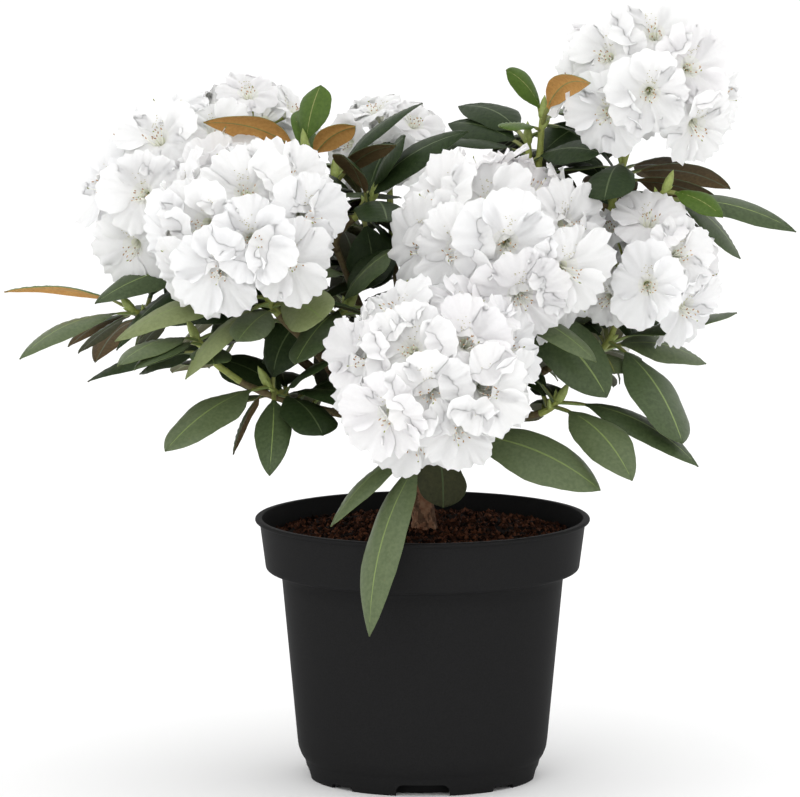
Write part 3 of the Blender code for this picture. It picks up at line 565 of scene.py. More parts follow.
class Batch:
    """Joins closed bodies of one kind into pieces, and starts another before one grows too large."""

    def __init__(self, name, slot, looks, materials, sharp=None):
        self.name = name
        self.slot = slot
        self.looks = looks
        self.sharp = sharp
        self.materials = [materials[look] for look in looks]
        self.made = 0
        self.start()

    def start(self):
        self.points = []
        self.faces = []
        self.shades = []
        self.nodes = []
        self.count = 0
        self.triangles = 0

    def add(self, body, shades, node):
        """A body is its corners in mm and its faces; shades name the look of each face, or of all."""
        points, faces = body
        triangles = sum(len(face) - 2 for face in faces)
        if self.triangles + triangles > PIECE_LIMIT:
            self.close()
        if isinstance(shades, str):
            shades = [self.looks.index(shades)] * len(faces)
        self.points.append(np.asarray(points, dtype=float))
        self.faces += [[corner + self.count for corner in face] for face in faces]
        self.shades += list(shades)
        self.count += len(points)
        self.triangles += triangles
        if node not in self.nodes:
            self.nodes.append(node)

    def close(self):
        """Makes the piece, which rides on the one body and stands for the nodes it was made for."""
        if not self.faces:
            return
        self.made += 1
        name = f"{self.name}_{self.made}"
        mesh = bpy.data.meshes.new(name)
        mesh.from_pydata((np.concatenate(self.points) * MM).tolist(), [], self.faces)
        mesh.polygons.foreach_set("material_index", self.shades)
        for material in self.materials:
            mesh.materials.append(material)
        mesh.shade_smooth()
        if self.sharp:
            mesh.set_sharp_from_angle(angle=math.radians(self.sharp))
        mesh.update()
        dress(add_object(name, mesh), self.slot, self.nodes)
        self.start()


def dress(piece, slot, nodes):
    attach(piece, BODY)
    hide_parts(*nodes)


def fine_noise(tree, place, scale, detail):
    """A fine noise in the piece's own space."""
    texture = tree.nodes.new("ShaderNodeTexNoise")
    texture.inputs["Scale"].default_value = scale
    texture.inputs["Detail"].default_value = detail
    tree.links.new(place.outputs["Object"], texture.inputs["Vector"])
    return texture.outputs["Fac"]


def make_material(name, first, second, roughness, relief, shine):
    """Two near shades mixed by a fine mottle, with a fine relief that follows another."""
    material = bpy.data.materials.new(name)
    material.use_nodes = True
    tree = material.node_tree
    shader = tree.nodes["Principled BSDF"]
    shader.inputs["Roughness"].default_value = roughness
    shader.inputs["Specular IOR Level"].default_value = shine
    if name in SOFT_LOOKS:
        shader.inputs["Subsurface Weight"].default_value = SOFT_WEIGHT
        shader.inputs["Subsurface Radius"].default_value = (1, 1, 1)
        shader.inputs["Subsurface Scale"].default_value = SOFT_DEPTH * MM
    place = tree.nodes.new("ShaderNodeTexCoord")
    mottle = fine_noise(tree, place, MOTTLE_SCALE.get(name, DEFAULT_MOTTLE), MOTTLE_DETAIL)
    ramp = tree.nodes.new("ShaderNodeValToRGB")
    for element, position, shade in zip(ramp.color_ramp.elements, MOTTLE_EDGES, (first, second)):
        element.position = position
        element.color = (*shade, 1)
    tree.links.new(mottle, ramp.inputs["Fac"])
    tree.links.new(ramp.outputs["Color"], shader.inputs["Base Color"])
    if relief:
        bump = tree.nodes.new("ShaderNodeBump")
        bump.inputs["Distance"].default_value = relief * MM
        bump.inputs["Strength"].default_value = 1
        tree.links.new(fine_noise(tree, place, RELIEF_SCALE, RELIEF_DETAIL), bump.inputs["Height"])
        tree.links.new(bump.outputs["Normal"], shader.inputs["Normal"])
    return material


def smooth_step(value, low, high):
    share = np.clip((value - low) / (high - low), 0, 1)
    return share * share * (3 - 2 * share)


def swing(first, second, angle):
    """The first direction turned towards the second by an angle."""
    return first * math.cos(angle) + second * math.sin(angle)


def round_point(radius, angle):
    return radius * math.cos(angle), radius * math.sin(angle)


def arch_point(base, bend, tip, t):
    """The place on an arch from its base to its tip, bent by its control point."""
    return base * (1 - t)**2 + bend * (2 * t * (1 - t)) + tip * t**2


def unit(vectors):
    return vectors / np.linalg.norm(vectors, axis=-1, keepdims=True)


def grid_body(grid, thickness):
    """A closed sheet from a grid of points, thick to both sides of it."""
    rows, columns = grid.shape[:2]
    along = np.gradient(grid, axis=0)
    over = np.gradient(grid, axis=1)
    normal = np.cross(along, over)
    normal /= np.maximum(np.linalg.norm(normal, axis=2, keepdims=True), 1e-9)
    half = normal * np.broadcast_to(thickness, (rows, columns))[..., None] / 2
    points = np.concatenate([(grid + half).reshape(-1, 3), (grid - half).reshape(-1, 3)])
    index = np.arange(rows * columns).reshape(rows, columns)
    corners = [index[:-1, :-1], index[1:, :-1], index[1:, 1:], index[:-1, 1:]]
    upper = np.stack([corner.ravel() for corner in corners], axis=1)
    lower = upper[:, ::-1] + rows * columns
    edge = np.concatenate([index[0, :-1], index[:-1, -1], index[-1, :0:-1], index[:0:-1, 0]])
    onward = np.roll(edge, -1)
    rim = np.stack([edge, onward, onward + rows * columns, edge + rows * columns], axis=1)
    return points, upper.tolist() + lower.tolist() + rim.tolist()


def tube_grid(path, radii, sides):
    """Rings of points round a path, carried along it without twist."""
    path = np.array([tuple(point) for point in path], dtype=float)
    tangents = unit(np.gradient(path, axis=0))
    side = np.array(Vector(tangents[0]).orthogonal().normalized())
    turns = np.arange(sides) * math.tau / sides
    rings = []
    for point, tangent, radius in zip(path, tangents, radii):
        side = side - tangent * side.dot(tangent)
        side /= np.linalg.norm(side)
        other = np.cross(tangent, side)
        ring = np.outer(np.cos(turns), side) + np.outer(np.sin(turns), other)
        rings.append(point + ring * np.asarray(radius).reshape(-1, 1))
    return np.array(rings)


def tube_body(rings):
    """A closed body from rings of points, capped at both ends."""
    rows, sides = rings.shape[:2]
    points = np.concatenate([rings.reshape(-1, 3), [rings[0].mean(0), rings[-1].mean(0)]])
    index = np.arange(rows * sides).reshape(rows, sides)
    onward = np.roll(index, -1, axis=1)
    wall = np.stack([index[:-1], onward[:-1], onward[1:], index[1:]], axis=2).reshape(-1, 4)
    foot = [[rows * sides, onward[0, k], index[0, k]] for k in range(sides)]
    tip = [[rows * sides + 1, index[-1, k], onward[-1, k]] for k in range(sides)]
    return points, wall.tolist() + [list(map(int, face)) for face in foot + tip]


def smooth_path(points, steps):
    """Points along a smooth curve through the given ones."""
    points = [Vector(p) for p in points]
    ends = [2 * points[0] - points[1]] + points + [2 * points[-1] - points[-2]]
    path = [points[0]]
    for a, b, c, d in zip(ends, ends[1:], ends[2:], ends[3:]):
        for step in range(1, steps + 1):
            t = step / steps
            path.append(0.5 * (2 * b + (c - a) * t + (2 * a - 5 * b + 4 * c - d) * t**2
                               + (3 * b - a - 3 * c + d) * t**3))
    return path


def spread(first, last, count):
    return [first + (last - first) * i / (count - 1) for i in range(count)]


def nearest_on(path, point):
    """The place on a path that is nearest to a point."""
    spots = []
    for start, end in zip(path, path[1:]):
        spot, share = intersect_point_line(point, start, end)
        spots.append(start if share < 0 else end if share > 1 else spot)
    return min(spots, key=lambda spot: (spot - point).length)


def limb_path(limb, paths):
    """A bough starts inside its parent, and the leader a gap above the trunk's fork."""
    if limb.parent:
        foot = nearest_on(paths[limb.parent], Vector(limb.points[0]))
        return smooth_path((foot, *limb.points[1:]), LIMB_STEPS)
    trunk_tip = Vector(TRUNK_POINTS[-1])
    onward = (trunk_tip - Vector(TRUNK_POINTS[-2])).normalized()
    foot = trunk_tip + onward * GAP
    return [foot] + smooth_path((foot + onward * TWIG_STRAIGHT, *limb.points), LIMB_STEPS)


def limb_courses():
    """The path and the radii of the trunk and of each bough."""
    paths = {"trunk": [Vector(p) for p in TRUNK_POINTS]}
    radii = {"trunk": list(TRUNK_RADII)}
    for limb in BOUGHS:
        paths[limb.name] = limb_path(limb, paths)
        radii[limb.name] = spread(limb.foot_radius, limb.tip_radius, len(paths[limb.name]))
    return paths, radii


def twig_path(start, heading, whorl, axis):
    """A twig that leaves its start along the heading and reaches its whorl along the axis."""
    reach = (whorl - start).length / 3
    first = start + heading * TWIG_STRAIGHT
    a, b, c, d = first, first + heading * reach, whorl - axis * reach, whorl
    path = [start]
    for step in range(TWIG_STEPS + 1):
        t = step / TWIG_STEPS
        path.append(a * (1 - t)**3 + b * 3 * t * (1 - t)**2 + c * 3 * t**2 * (1 - t) + d * t**3)
    return path


def twig_radii(stalk):
    return spread(TWIG_FOOT_RADIUS, TWIG_TIP_RADIUS, len(stalk))


def shoot_axis(shoot, start):
    """The way the shoot points at its whorl: into its truss, or outward and up."""
    whorl = Vector(shoot.whorl)
    if shoot.truss:
        return (Vector(shoot.truss.middle) - whorl).normalized()
    outward = whorl - start
    return (outward.normalized() + UP * SHOOT_RISE).normalized()


def across(axis):
    """Two unit vectors at right angles to the axis and to each other."""
    side = axis.orthogonal().normalized()
    return side, axis.cross(side).normalized()


def upright(axis):
    """Across the axis: to the side and level, and as far up as it can be."""
    rise = UP - axis * UP.dot(axis)
    if rise.length < 0.05:
        rise = FRONT.copy()
    rise.normalize()
    return rise.cross(axis).normalized(), rise


def leaf_frame(leaf):
    """The leaf's length, the control point of its arch, its level side and its turn to the front."""
    chord = leaf.tip - leaf.base
    length = chord.length
    along = chord / length
    rise = (UP - along * UP.dot(along)).normalized()
    side = along.cross(rise)
    bend = (leaf.base + leaf.tip) / 2 + rise * (2 * leaf.arch * length)
    turn = math.radians(leaf.face) * (1 if side.dot(FRONT) > 0 else -1)
    return length, bend, side, turn


def leaf_rings(leaf, first, extra):
    """The four-sided sections of a plain leaf from some way along its petiole to its tip."""
    _, bend, side, turn = leaf_frame(leaf)
    half = PETIOLE_WIDTH / 2
    stations = [(first, half)]
    for place, share in leaf.outline:
        if place > first:
            stations.append((place, max(half, leaf.width / 2 * share)))
    rings = []
    for t, half_width in stations:
        middle = arch_point(leaf.base, bend, leaf.tip, t)
        onward = ((bend - leaf.base) * (1 - t) + (leaf.tip - bend) * t).normalized()
        normal = side.cross(onward).normalized()
        wide = swing(side, -normal, turn)
        thick = swing(normal, side, turn)
        edge = -thick * (half_width * LEAF_EDGE_DROP)
        reach = half_width + extra
        depth = LEAF_THICKNESS / 2 + extra
        rings.append([middle - wide * reach + edge, middle + thick * depth,
                      middle + wide * reach + edge, middle - thick * depth])
    return rings


def leaf_skin(leaf, first=0.0, extra=0.0):
    """Corners and faces of a plain leaf, which the rule tests for room."""
    rings = leaf_rings(leaf, first, extra)
    corners = [corner for ring in rings for corner in ring] + [leaf.tip]
    faces = [(3, 2, 1, 0)]
    for row in range(len(rings) - 1):
        for k in range(4):
            a, b = row * 4 + k, row * 4 + (k + 1) % 4
            faces.append((a, b, b + 4, a + 4))
    last = (len(rings) - 1) * 4
    faces += [(last + k, last + (k + 1) % 4, len(corners) - 1) for k in range(4)]
    return corners, faces


def floret_place(truss, axis, index, size):
    """The way a floret faces on its truss's dome, and a function that places points round it."""
    share = (index + 0.5) / truss.florets
    polar = math.acos(1 - (1 - math.cos(DOME_EDGE)) * share)
    side, other = across(axis)
    sideways = swing(side, other, truss.middle[0] + index * GOLDEN_ANGLE)
    outward = swing(axis, sideways, polar)
    wide, tall = upright(outward)
    middle = Vector(truss.middle)

    def place(height, radius, angle):
        spot = outward * height + swing(wide, tall, angle) * radius
        spot -= axis * (spot.dot(axis) * (1 - truss.depth))
        return middle + spot * truss.radius * size

    return outward, place


def floret_skin(truss, axis, index, size):
    """Corners and faces of a plain floret, which the rule tests for room."""
    _, place = floret_place(truss, axis, index, size)
    step = math.tau / LOBES
    corners = [place(FLORET_FOOT, 0, 0), place(FLORET_THROAT, 0, 0)]
    for k in range(LOBES):
        corners.append(place(*FLORET_LOBE, math.pi / 2 + k * step))
        corners.append(place(*FLORET_CLEFT, math.pi / 2 + (k + 0.5) * step))
    faces = []
    for k in range(2 * LOBES):
        here, beyond = 2 + k, 2 + (k + 1) % (2 * LOBES)
        faces += [(0, beyond, here), (1, here, beyond)]
    return corners, faces


def skin_tree(skin):
    return BVHTree.FromPolygons(*skin)


def tube_tree(path, radii):
    points, faces = tube_body(tube_grid(path, radii, TEST_SIDES))
    return BVHTree.FromPolygons([Vector(point) for point in points], faces)


def is_clear(skin, placed, owner):
    """Whether a skin touches nothing that is already there, its owner's own pieces aside."""
    tree = skin_tree(skin)
    others = [other for name, trees in placed.items() if name != owner for other in trees]
    return not any(tree.overlap(other) for other in others)


def leaf_fits(leaf, placed, owner):
    """Whether the whole leaf is clear of the other masses, and its blade of its own mass."""
    blade = skin_tree(leaf_skin(leaf, BLADE_START, CLEARANCE))
    if any(blade.overlap(other) for other in placed[owner]):
        return False
    return is_clear(leaf_skin(leaf, 0, CLEARANCE), placed, owner)


def place_shown_leaf(base, whorl, row, placed, owner):
    """A leaf that shows from the front, moved a little back or down until it is clear."""
    right, back, up, width, face, tint = row
    for arch in ARCHES:
        for shift_back, shift_up in SHIFTS:
            tip = whorl + Vector((right, back + shift_back, up + shift_up))
            leaf = Leaf(base, tip, width, arch, face, SHOWN_OUTLINE, tint)
            if leaf_fits(leaf, placed, owner):
                return leaf
    return None


def inside_crown(point):
    """Whether a leaf's tip is in the crown, whose lower side rises away from the trunk."""
    start, foot, slope = CROWN_SKIRT
    skirt = foot + slope * max(0, math.hypot(point.x, point.y) - start)
    inside = all(low <= value <= high for value, (low, high) in zip(point, CROWN_SPACE))
    return inside and point.z > skirt


def place_rule_leaf(base, axis, azimuth, seed, rule, front_free, placed, owner):
    """A leaf on the golden angle round its shoot, or none where there is no room for it."""
    draw = random.Random(seed)
    side, other = across(axis)
    tint = RULE_TINTS[seed % len(RULE_TINTS)]
    for attempt in range(rule.tries):
        turn = azimuth + draw.uniform(-RULE_STRAY, RULE_STRAY) * attempt
        rise = math.radians(draw.uniform(*RULE_RISE))
        length = draw.uniform(*rule.lengths)
        way = swing(swing(side, other, turn), axis, rise)
        way = (way - UP * RULE_SAG).normalized()
        tip = base + way * length
        width = length * draw.uniform(*RULE_WIDTH)
        leaf = Leaf(base, tip, width, draw.choice(ARCHES), 0, RULE_OUTLINE, tint)
        free = front_free or way.y > BACKWARD
        if free and inside_crown(tip) and leaf_fits(leaf, placed, owner):
            return leaf
    return None


def down_twig(path, distance):
    """The place on a twig that is so far below its whorl, and no lower than its foot."""
    for end, start in zip(path[::-1], path[-2::-1]):
        length = (end - start).length
        if distance < length:
            return end.lerp(start, distance / length)
        distance -= length
    return path[1]


def grow_twigs(bough_path, shoots):
    """Each shoot of a mass with its axis, its path to the whorl and its whole stalk."""
    tip, before = bough_path[-1], bough_path[-2]
    heading = (tip - before).normalized()
    grown, stem = [], None
    for shoot in shoots:
        start, way = tip + heading * GAP, heading
        if stem:
            fork = max(1, round(FORK_AT * (len(stem) - 1)))
            start, way = stem[fork], (stem[fork + 1] - stem[fork]).normalized()
        axis = shoot_axis(shoot, start)
        path = twig_path(start, way, Vector(shoot.whorl), axis)
        stem = stem or path
        stalk = path + [Vector(shoot.truss.middle)] if shoot.truss else path
        grown.append((shoot, axis, path, stalk))
    return grown


def open_florets(truss, axis, owner, placed):
    """The truss's florets and their sizes, each as large as the other masses leave room for."""
    opened = []
    for index in range(truss.florets):
        for size in FLORET_SIZES:
            if is_clear(floret_skin(truss, axis, index, size + FLORET_MARGIN), placed, owner):
                opened.append((index, size))
                break
    return opened


def place_leaves(grown, placed):
    """Every leaf of every mass: those that show from the front, and then the rule's."""
    leaves = {name: [] for name in MASSES}

    def keep(name, leaf):
        if leaf:
            leaves[name].append(leaf)
            placed[name].append(skin_tree(leaf_skin(leaf)))

    for name, shoot, _, path, _ in grown:
        for number, row in enumerate(shoot.leaves):
            base = down_twig(path, WHORL_STEP * (number % WHORL_ROWS + 0.5))
            keep(name, place_shown_leaf(base, path[-1], row, placed, name))
    for rule in RULES:
        seed = rule.seed
        for name, shoot, axis, path, _ in grown:
            for number in range(rule.count or shoot.more):
                seed += 1
                base = down_twig(path, rule.step * (number + 0.5))
                azimuth = shoot.whorl[rule.turn_by] + number * GOLDEN_ANGLE
                free = not shoot.leaves
                keep(name, place_rule_leaf(base, axis, azimuth, seed, rule, free, placed, name))
    return leaves


def grow():
    """The whole plant by the rule: limb courses, shoots, florets and leaves."""
    paths, radii = limb_courses()
    placed = {"limbs": [tube_tree(paths[name], radii[name]) for name in paths]}
    grown = []
    for name, (bough, shoots) in MASSES.items():
        new = grow_twigs(paths[bough], shoots)
        grown += [(name, *growth) for growth in new]
        placed[name] = [tube_tree(stalk, twig_radii(stalk)) for _, _, _, stalk in new]
    flowering = [(name, shoot.truss, axis) for name, shoot, axis, _, _ in grown if shoot.truss]
    for name, truss, axis in flowering:
        opened = open_florets(truss, axis, name, placed)
        placed[name] += [skin_tree(floret_skin(truss, axis, i, size)) for i, size in opened]
    florets = []
    for name, truss, axis in flowering:
        truss = truss._replace(florets=round(truss.florets * DRAWN_FLORETS))
        florets.append((name, truss, axis, open_florets(truss, axis, name, placed)))
    return paths, radii, grown, florets, place_leaves(grown, placed)


def half_widths(leaf, length, blade):
    """Half the leaf's width along it: round at the tip where it is broad, pointed where it is slender."""
    broad = smooth_step(leaf.width / length, POINTED_UNDER, ROUND_OVER)
    widths = broad * np.array(ROUND_WIDTHS) + (1 - broad) * np.array(POINTED_WIDTHS)
    petiole = (PETIOLE_WIDTH / 2 - PETIOLE_SLIMMING) * (1 - blade)**2 + TIP_HALF
    return np.maximum(leaf.width / 2 * np.interp(blade, BLADE_PLACES, widths), petiole)


def blade_lift(half, s, blade, warp):
    """How far a blade rises or drops from its middle surface: margins, warp, groove and side veins."""
    far = np.abs(s)
    start = np.minimum(blade * VEIN_START, 1)
    drop = -half * (LEAF_EDGE_DROP * far**1.5 + MARGIN_ROLL * far**5)
    groove = -GROOVE_DEPTH * np.exp(-(s / GROOVE_HALF)**2) * np.minimum(blade * GROOVE_START, 1)
    veins = np.sin(math.tau * (VEIN_PAIRS * blade - VEIN_PAIRS * VEIN_SLANT * far))
    veins = VEIN_DEPTH * veins * 4 * far * (1 - far) * start
    return (drop + warp) * start + groove + veins


def blade_thickness(t, s):
    """A thick petiole that turns into a thin blade with its midrib."""
    petiole = 1 - smooth_step(t, *(PETIOLE_END * share for share in PETIOLE_FADE))
    rib = np.exp(-(s / RIB_SPREAD)**2) * (RIB_THICKNESS * (1 - RIB_THINNING * t))
    flat = BLADE_THICKNESS * (1 - BLADE_THINNING * np.abs(s))
    stalk = PETIOLE_THICKNESS * petiole * (1 - PETIOLE_ROUNDING * s * s)
    return np.maximum(stalk, flat + rib * (1 - petiole))


def blade_grid(leaf, steps, places, draw):
    """The middle surface of a leaf as a grid, and its thickness at each point."""
    length, bend, side, turn = leaf_frame(leaf)
    base, bend, tip, side = (np.array(v) for v in (leaf.base, bend, leaf.tip, side))
    t = np.linspace(0, 1, steps + 1)[:, None]
    s = np.array(places, dtype=float)[None, :]
    middle = arch_point(base, bend, tip, t)
    normal = unit(np.cross(side, unit((bend - base) * (1 - t) + (tip - bend) * t)))
    twist = turn + draw.uniform(-TWIST, TWIST) * t
    wide = -side * np.cos(twist) + normal * np.sin(twist)
    thick = normal * np.cos(twist) + side * np.sin(twist)
    blade = np.clip((t - PETIOLE_END) / (1 - PETIOLE_END), 0, 1)
    half = half_widths(leaf, length, blade)
    sway = draw.uniform(-SWAY, SWAY) * length * np.sin(math.pi * t)
    over = half * s * (1 + MARGIN_WAVE * np.sin(math.tau * (MARGIN_WAVES * t + draw.random()) + s))
    warp = draw.uniform(*WARP) * half * np.sin(math.tau * (WARP_WAVES * t + draw.random())) * s * np.abs(s)
    lift = blade_lift(half, s, blade, warp)
    grid = (middle + wide * sway)[:, None, :] + wide[:, None, :] * over[..., None]
    return grid + thick[:, None, :] * lift[..., None], blade_thickness(t, s)


def leaf_shades(leaf, steps, places):
    """The look of each face of a leaf: its two sides, rib and petiole, and its edge, a painted highlight in
    the rib's colour.
    """
    upper, under, rib = (LEAF_LOOKS.index(look) for look in TINTS[leaf.tint])
    petiole = LEAF_LOOKS.index("petiole")
    centres = [(a + b) / 2 for a, b in zip(places, places[1:])]
    stem_rows = round(steps * PETIOLE_END)

    def side(plain):
        row = [rib if abs(s) < RIB_HALF else plain for s in centres]
        return [petiole] * (len(centres) * stem_rows) + row * (steps - stem_rows)

    # The edge faces take the rib's colour, lighter than the blade: a painted highlight along the leaf's
    # margin.
    return side(upper) + side(under) + [rib] * (2 * (steps + len(places) - 1))


def make_leaves(leaves, materials):
    batch = Batch("leaves", "foliage", LEAF_LOOKS, materials, LEAF_SHARP)
    draw = random.Random(SEED)
    for name, group in leaves.items():
        for leaf in group:
            shown = leaf.outline is SHOWN_OUTLINE
            steps, places = (SHOWN_STEPS, SHOWN_ACROSS) if shown else (RULE_STEPS, RULE_ACROSS)
            body = grid_body(*blade_grid(leaf, steps, places, draw))
            batch.add(body, leaf_shades(leaf, steps, places), name)
    batch.close()


def funnel_point(reach):
    """Radius and height of the funnel at a reach from its foot."""
    return np.interp(reach, FUNNEL_PLACES, FUNNEL_RADII), np.interp(reach, FUNNEL_PLACES, FUNNEL_HEIGHTS)


def lobe_grid(number, rows, columns, draw):
    """One frilled lobe of the funnel, from its foot to its margin, in the floret's own frame."""
    t = np.array(rows)[:, None]
    s = np.linspace(-1, 1, columns)[None, :]
    flare = smooth_step(t, *LOBE_FLARE)
    half = LOBE_FOOT_HALF + (LOBE_TIP_HALF - LOBE_FOOT_HALF) * flare
    depth, stray, width = LOBE_NICK
    nick = draw.uniform(0.0, depth) * np.exp(-((s - draw.uniform(-stray, stray)) / width)**2)
    radius, height = funnel_point(t * (1 - (LOBE_ROUNDING * np.abs(s)**3 + nick) * flare))
    fringe = np.array([draw.uniform(-1, 1) for _ in range(columns)])[None, :]
    radius = radius * (1 + draw.uniform(*LOBE_REACH) * t) + FRINGE * fringe * t**FRINGE_POWER
    frill = 0
    for least, most, power, share in FRILL_WAVES:
        wave = np.sin(math.tau * (draw.uniform(least, most) * s + draw.random()))
        frill = frill + t**power * share * wave
    radius = radius + RIPPLE * t**RIPPLE_POWER * wave
    folds = LOBE_FOLDS * np.cos(3 * math.pi * s) * t * t * (1 - t) * 4
    curl = draw.uniform(*LOBE_CURL) * np.clip(t - 0.5, 0, 1)**2 * 4
    lift = height + FRILL * frill + folds + curl + LOBE_OVERLAP * s * smooth_step(t, *LOBE_OVERLAP_RISE)
    angle = math.pi / 2 + number * math.tau / LOBES + s * half
    return np.stack([radius * np.cos(angle), radius * np.sin(angle), lift], axis=2)


def make_florets(florets, materials):
    petals = Batch("petals", "foliage", PETAL_LOOKS, materials, PETAL_SHARP)
    inner = Batch("stamens", "foliage", INNER_LOOKS, materials)
    draw = random.Random(SEED)
    for name, truss, axis, opened in florets:
        for index, size in opened:
            make_floret(truss, axis, index, size, name, petals, inner, draw)
    petals.close()
    inner.close()


def floret_frame(truss, axis, index, size, draw):
    """The scale of one floret, and a function that settles points from its own frame on its truss."""
    _, place = floret_place(truss, axis, index, size)
    mouth = place(FLORET_LOBE[0], 0, 0)
    outward = (mouth - place(FLORET_FOOT, 0, 0)).normalized()
    stray = Vector([draw.uniform(-FLORET_STRAY, FLORET_STRAY) for _ in range(3)])
    facing = FRONT * (FLORET_FACING if truss.middle[1] < BACK_FROM else 0)
    outward = (outward + facing + stray).normalized()
    scale = truss.radius * FLORET_LOBE[1] * FLORET_SPREAD * size / FLORET_RADIUS
    foot = mouth - outward * (FLORET_DEPTH * scale + draw.uniform(-FLORET_LAYER, FLORET_LAYER))
    wide, tall = upright(outward)
    turn = draw.uniform(-FLORET_TURN, FLORET_TURN)
    frame = np.array([swing(wide, tall, turn), swing(tall, -wide, turn), outward]) * scale
    origin = np.array(foot)

    def settle(points):
        return np.asarray(points) @ frame + origin

    return scale, settle


def make_floret(truss, axis, index, size, node, petals, inner, draw):
    """One floret with its pedicel, stamens, style and freckles."""
    scale, settle = floret_frame(truss, axis, index, size, draw)
    look = draw.choice(PETAL_CHOICE)
    throat = [PETAL_LOOKS.index(name) for name in THROAT_LOOKS]
    front = truss.middle[1] < BACK_FROM
    rows, columns = (LOBE_ROWS, LOBE_COLUMNS) if front else (BACK_ROWS, BACK_COLUMNS)
    bands = throat + [look] * (len(rows) - 1 - len(throat))
    side = [band for band in bands for _ in range(columns - 1)]
    shades = side + side + [look] * (2 * (len(rows) + columns - 2))
    for lobe in range(LOBES):
        grid = settle(lobe_grid(lobe, rows, columns, draw))
        petals.add(grid_body(grid[:, ::-1], PETAL_THICKNESS), shades, node)
    stalk_start = Vector(truss.middle) - axis * truss.radius * PEDICEL_FROM
    calyx = Vector(settle([0, 0, CALYX_HEIGHT]))
    bend = stalk_start.lerp(calyx, 0.5) + axis * PEDICEL_BEND
    stalk = smooth_path((stalk_start, bend, calyx), PEDICEL_STEPS)
    radii = [PEDICEL_RADIUS] * (len(stalk) - 1) + [CALYX_RADIUS * scale]
    inner.add(tube_body(tube_grid(stalk, radii, 5)), "stem", node)
    for number in range(STAMENS + 1):
        make_stamen(number, settle, scale, inner, node, draw)
    for _ in range(FRECKLES):
        make_freckle(settle, inner, node, draw)


def make_stamen(number, settle, scale, inner, node, draw):
    """A filament that dips and then curves up to its anther. The last one is the style."""
    style = number == STAMENS
    turn = math.tau * number / STAMENS + draw.uniform(-STAMEN_STRAY, STAMEN_STRAY)
    x, y = round_point(draw.uniform(*STAMEN_REACH), turn)
    tip = np.array((x, y * STAMEN_FLATTENING - STAMEN_DIP, draw.uniform(*STAMEN_HEIGHT)))
    if style:
        tip = np.array((draw.uniform(-STYLE_REACH, STYLE_REACH), *STYLE_TIP))
    foot_radius, foot_height = STAMEN_FOOT
    foot = np.array((*round_point(foot_radius, turn), foot_height))
    out, down, dip, height = STAMEN_KNEE
    knee = np.array((tip[0] * out, tip[1] * down - dip, height))
    t = np.linspace(0, 1, FILAMENT_STEPS + 1)[:, None]
    path = settle(arch_point(foot, knee, tip, t))
    width = STYLE_RADIUS if style else FILAMENT_RADIUS
    widths = [width * FILAMENT_FOOT] + [width] * FILAMENT_STEPS
    inner.add(tube_body(tube_grid(path, widths, 3)), "filament", node)
    lean = unit(unit(path[-1] - path[-2]) + [draw.uniform(-ANTHER_LEAN, ANTHER_LEAN) for _ in range(3)])
    anther = [path[-1] + lean * step * scale for step in (-1.0, 0.0, 1.0)]
    look = "stem" if style else draw.choice(("anther", "anther", "anther_pale"))
    inner.add(tube_body(tube_grid(anther, ANTHER_RADII, 5)), look, node)


def make_freckle(settle, inner, node, draw):
    """A small raised spot on the upper lobe, above the stamens."""
    radius, height = funnel_point(draw.uniform(*FRECKLE_REACH))
    angle = math.pi / 2 + draw.uniform(-FRECKLE_SPREAD, FRECKLE_SPREAD)
    spot = np.array((*round_point(radius, angle), height + FRECKLE_LIFT))
    half = np.array((FRECKLE_HALF, 0.0, 0.0))
    path = settle([spot - half, spot, spot + half])
    inner.add(tube_body(tube_grid(path, FRECKLE_RADII, 3)), "freckle", node)


def bark_relief(point):
    """Fine ridges and flakes along the limb, from -1 to 1."""
    x, y, z = (value * BARK_SCALE for value in point)
    return noise.fractal(Vector((x, y, z * BARK_STRETCH)), *BARK_NOISE)


def rough_tube(path, radii, sides, depth, step):
    """A tube with bark relief, with rings a step apart."""
    lengths = [(b - a).length for a, b in zip(path, path[1:])]
    total = sum(lengths)
    at = np.concatenate([[0], np.cumsum(lengths)])
    spots = np.linspace(0, total, max(LEAST_RINGS, round(total / step)))
    fine = np.stack([np.interp(spots, at, [p[k] for p in path]) for k in range(3)], axis=1)
    for _ in range(PATH_SMOOTHING):
        fine[1:-1] = (fine[:-2] + 2 * fine[1:-1] + fine[2:]) / 4
    rings = tube_grid(fine, np.interp(spots, at, radii), sides)
    shift = np.array([[bark_relief(point) for point in ring] for ring in rings])
    return rings + unit(rings - fine[:, None, :]) * (shift * depth)[..., None], shift


def make_limbs(paths, radii, materials):
    """The trunk and boughs with flaking bark, one joined mesh that stands for them all."""
    batch = Batch("limbs", "bark", ("bark", "bark_flake", "bark_young"), materials)
    for name, path in paths.items():
        bark, high, low = BOUGH_BARK, 0, 2
        widths = radii[name]
        if name == "trunk":
            bark, high, low = TRUNK_BARK, 1, 0
            path = smooth_path(path, TRUNK_STEPS)
            widths = np.interp(np.linspace(0, 1, len(path)), np.linspace(0, 1, len(widths)), widths)
        rings, shift = rough_tube(path, widths, *bark)
        wall = shift[:-1].ravel()
        shades = [high if value > FLAKE_OVER else low for value in wall] + [low] * (2 * bark[0])
        batch.add(tube_body(rings), shades, name)
    batch.close()


def bud_body(foot, axis, size):
    """A pointed bud whose scales show as faint steps."""
    length, radius = size
    path = [foot + axis * (length * height) for height in BUD_HEIGHTS]
    return tube_body(tube_grid(path, [radius * width for width in BUD_WIDTHS], BUD_SIDES))


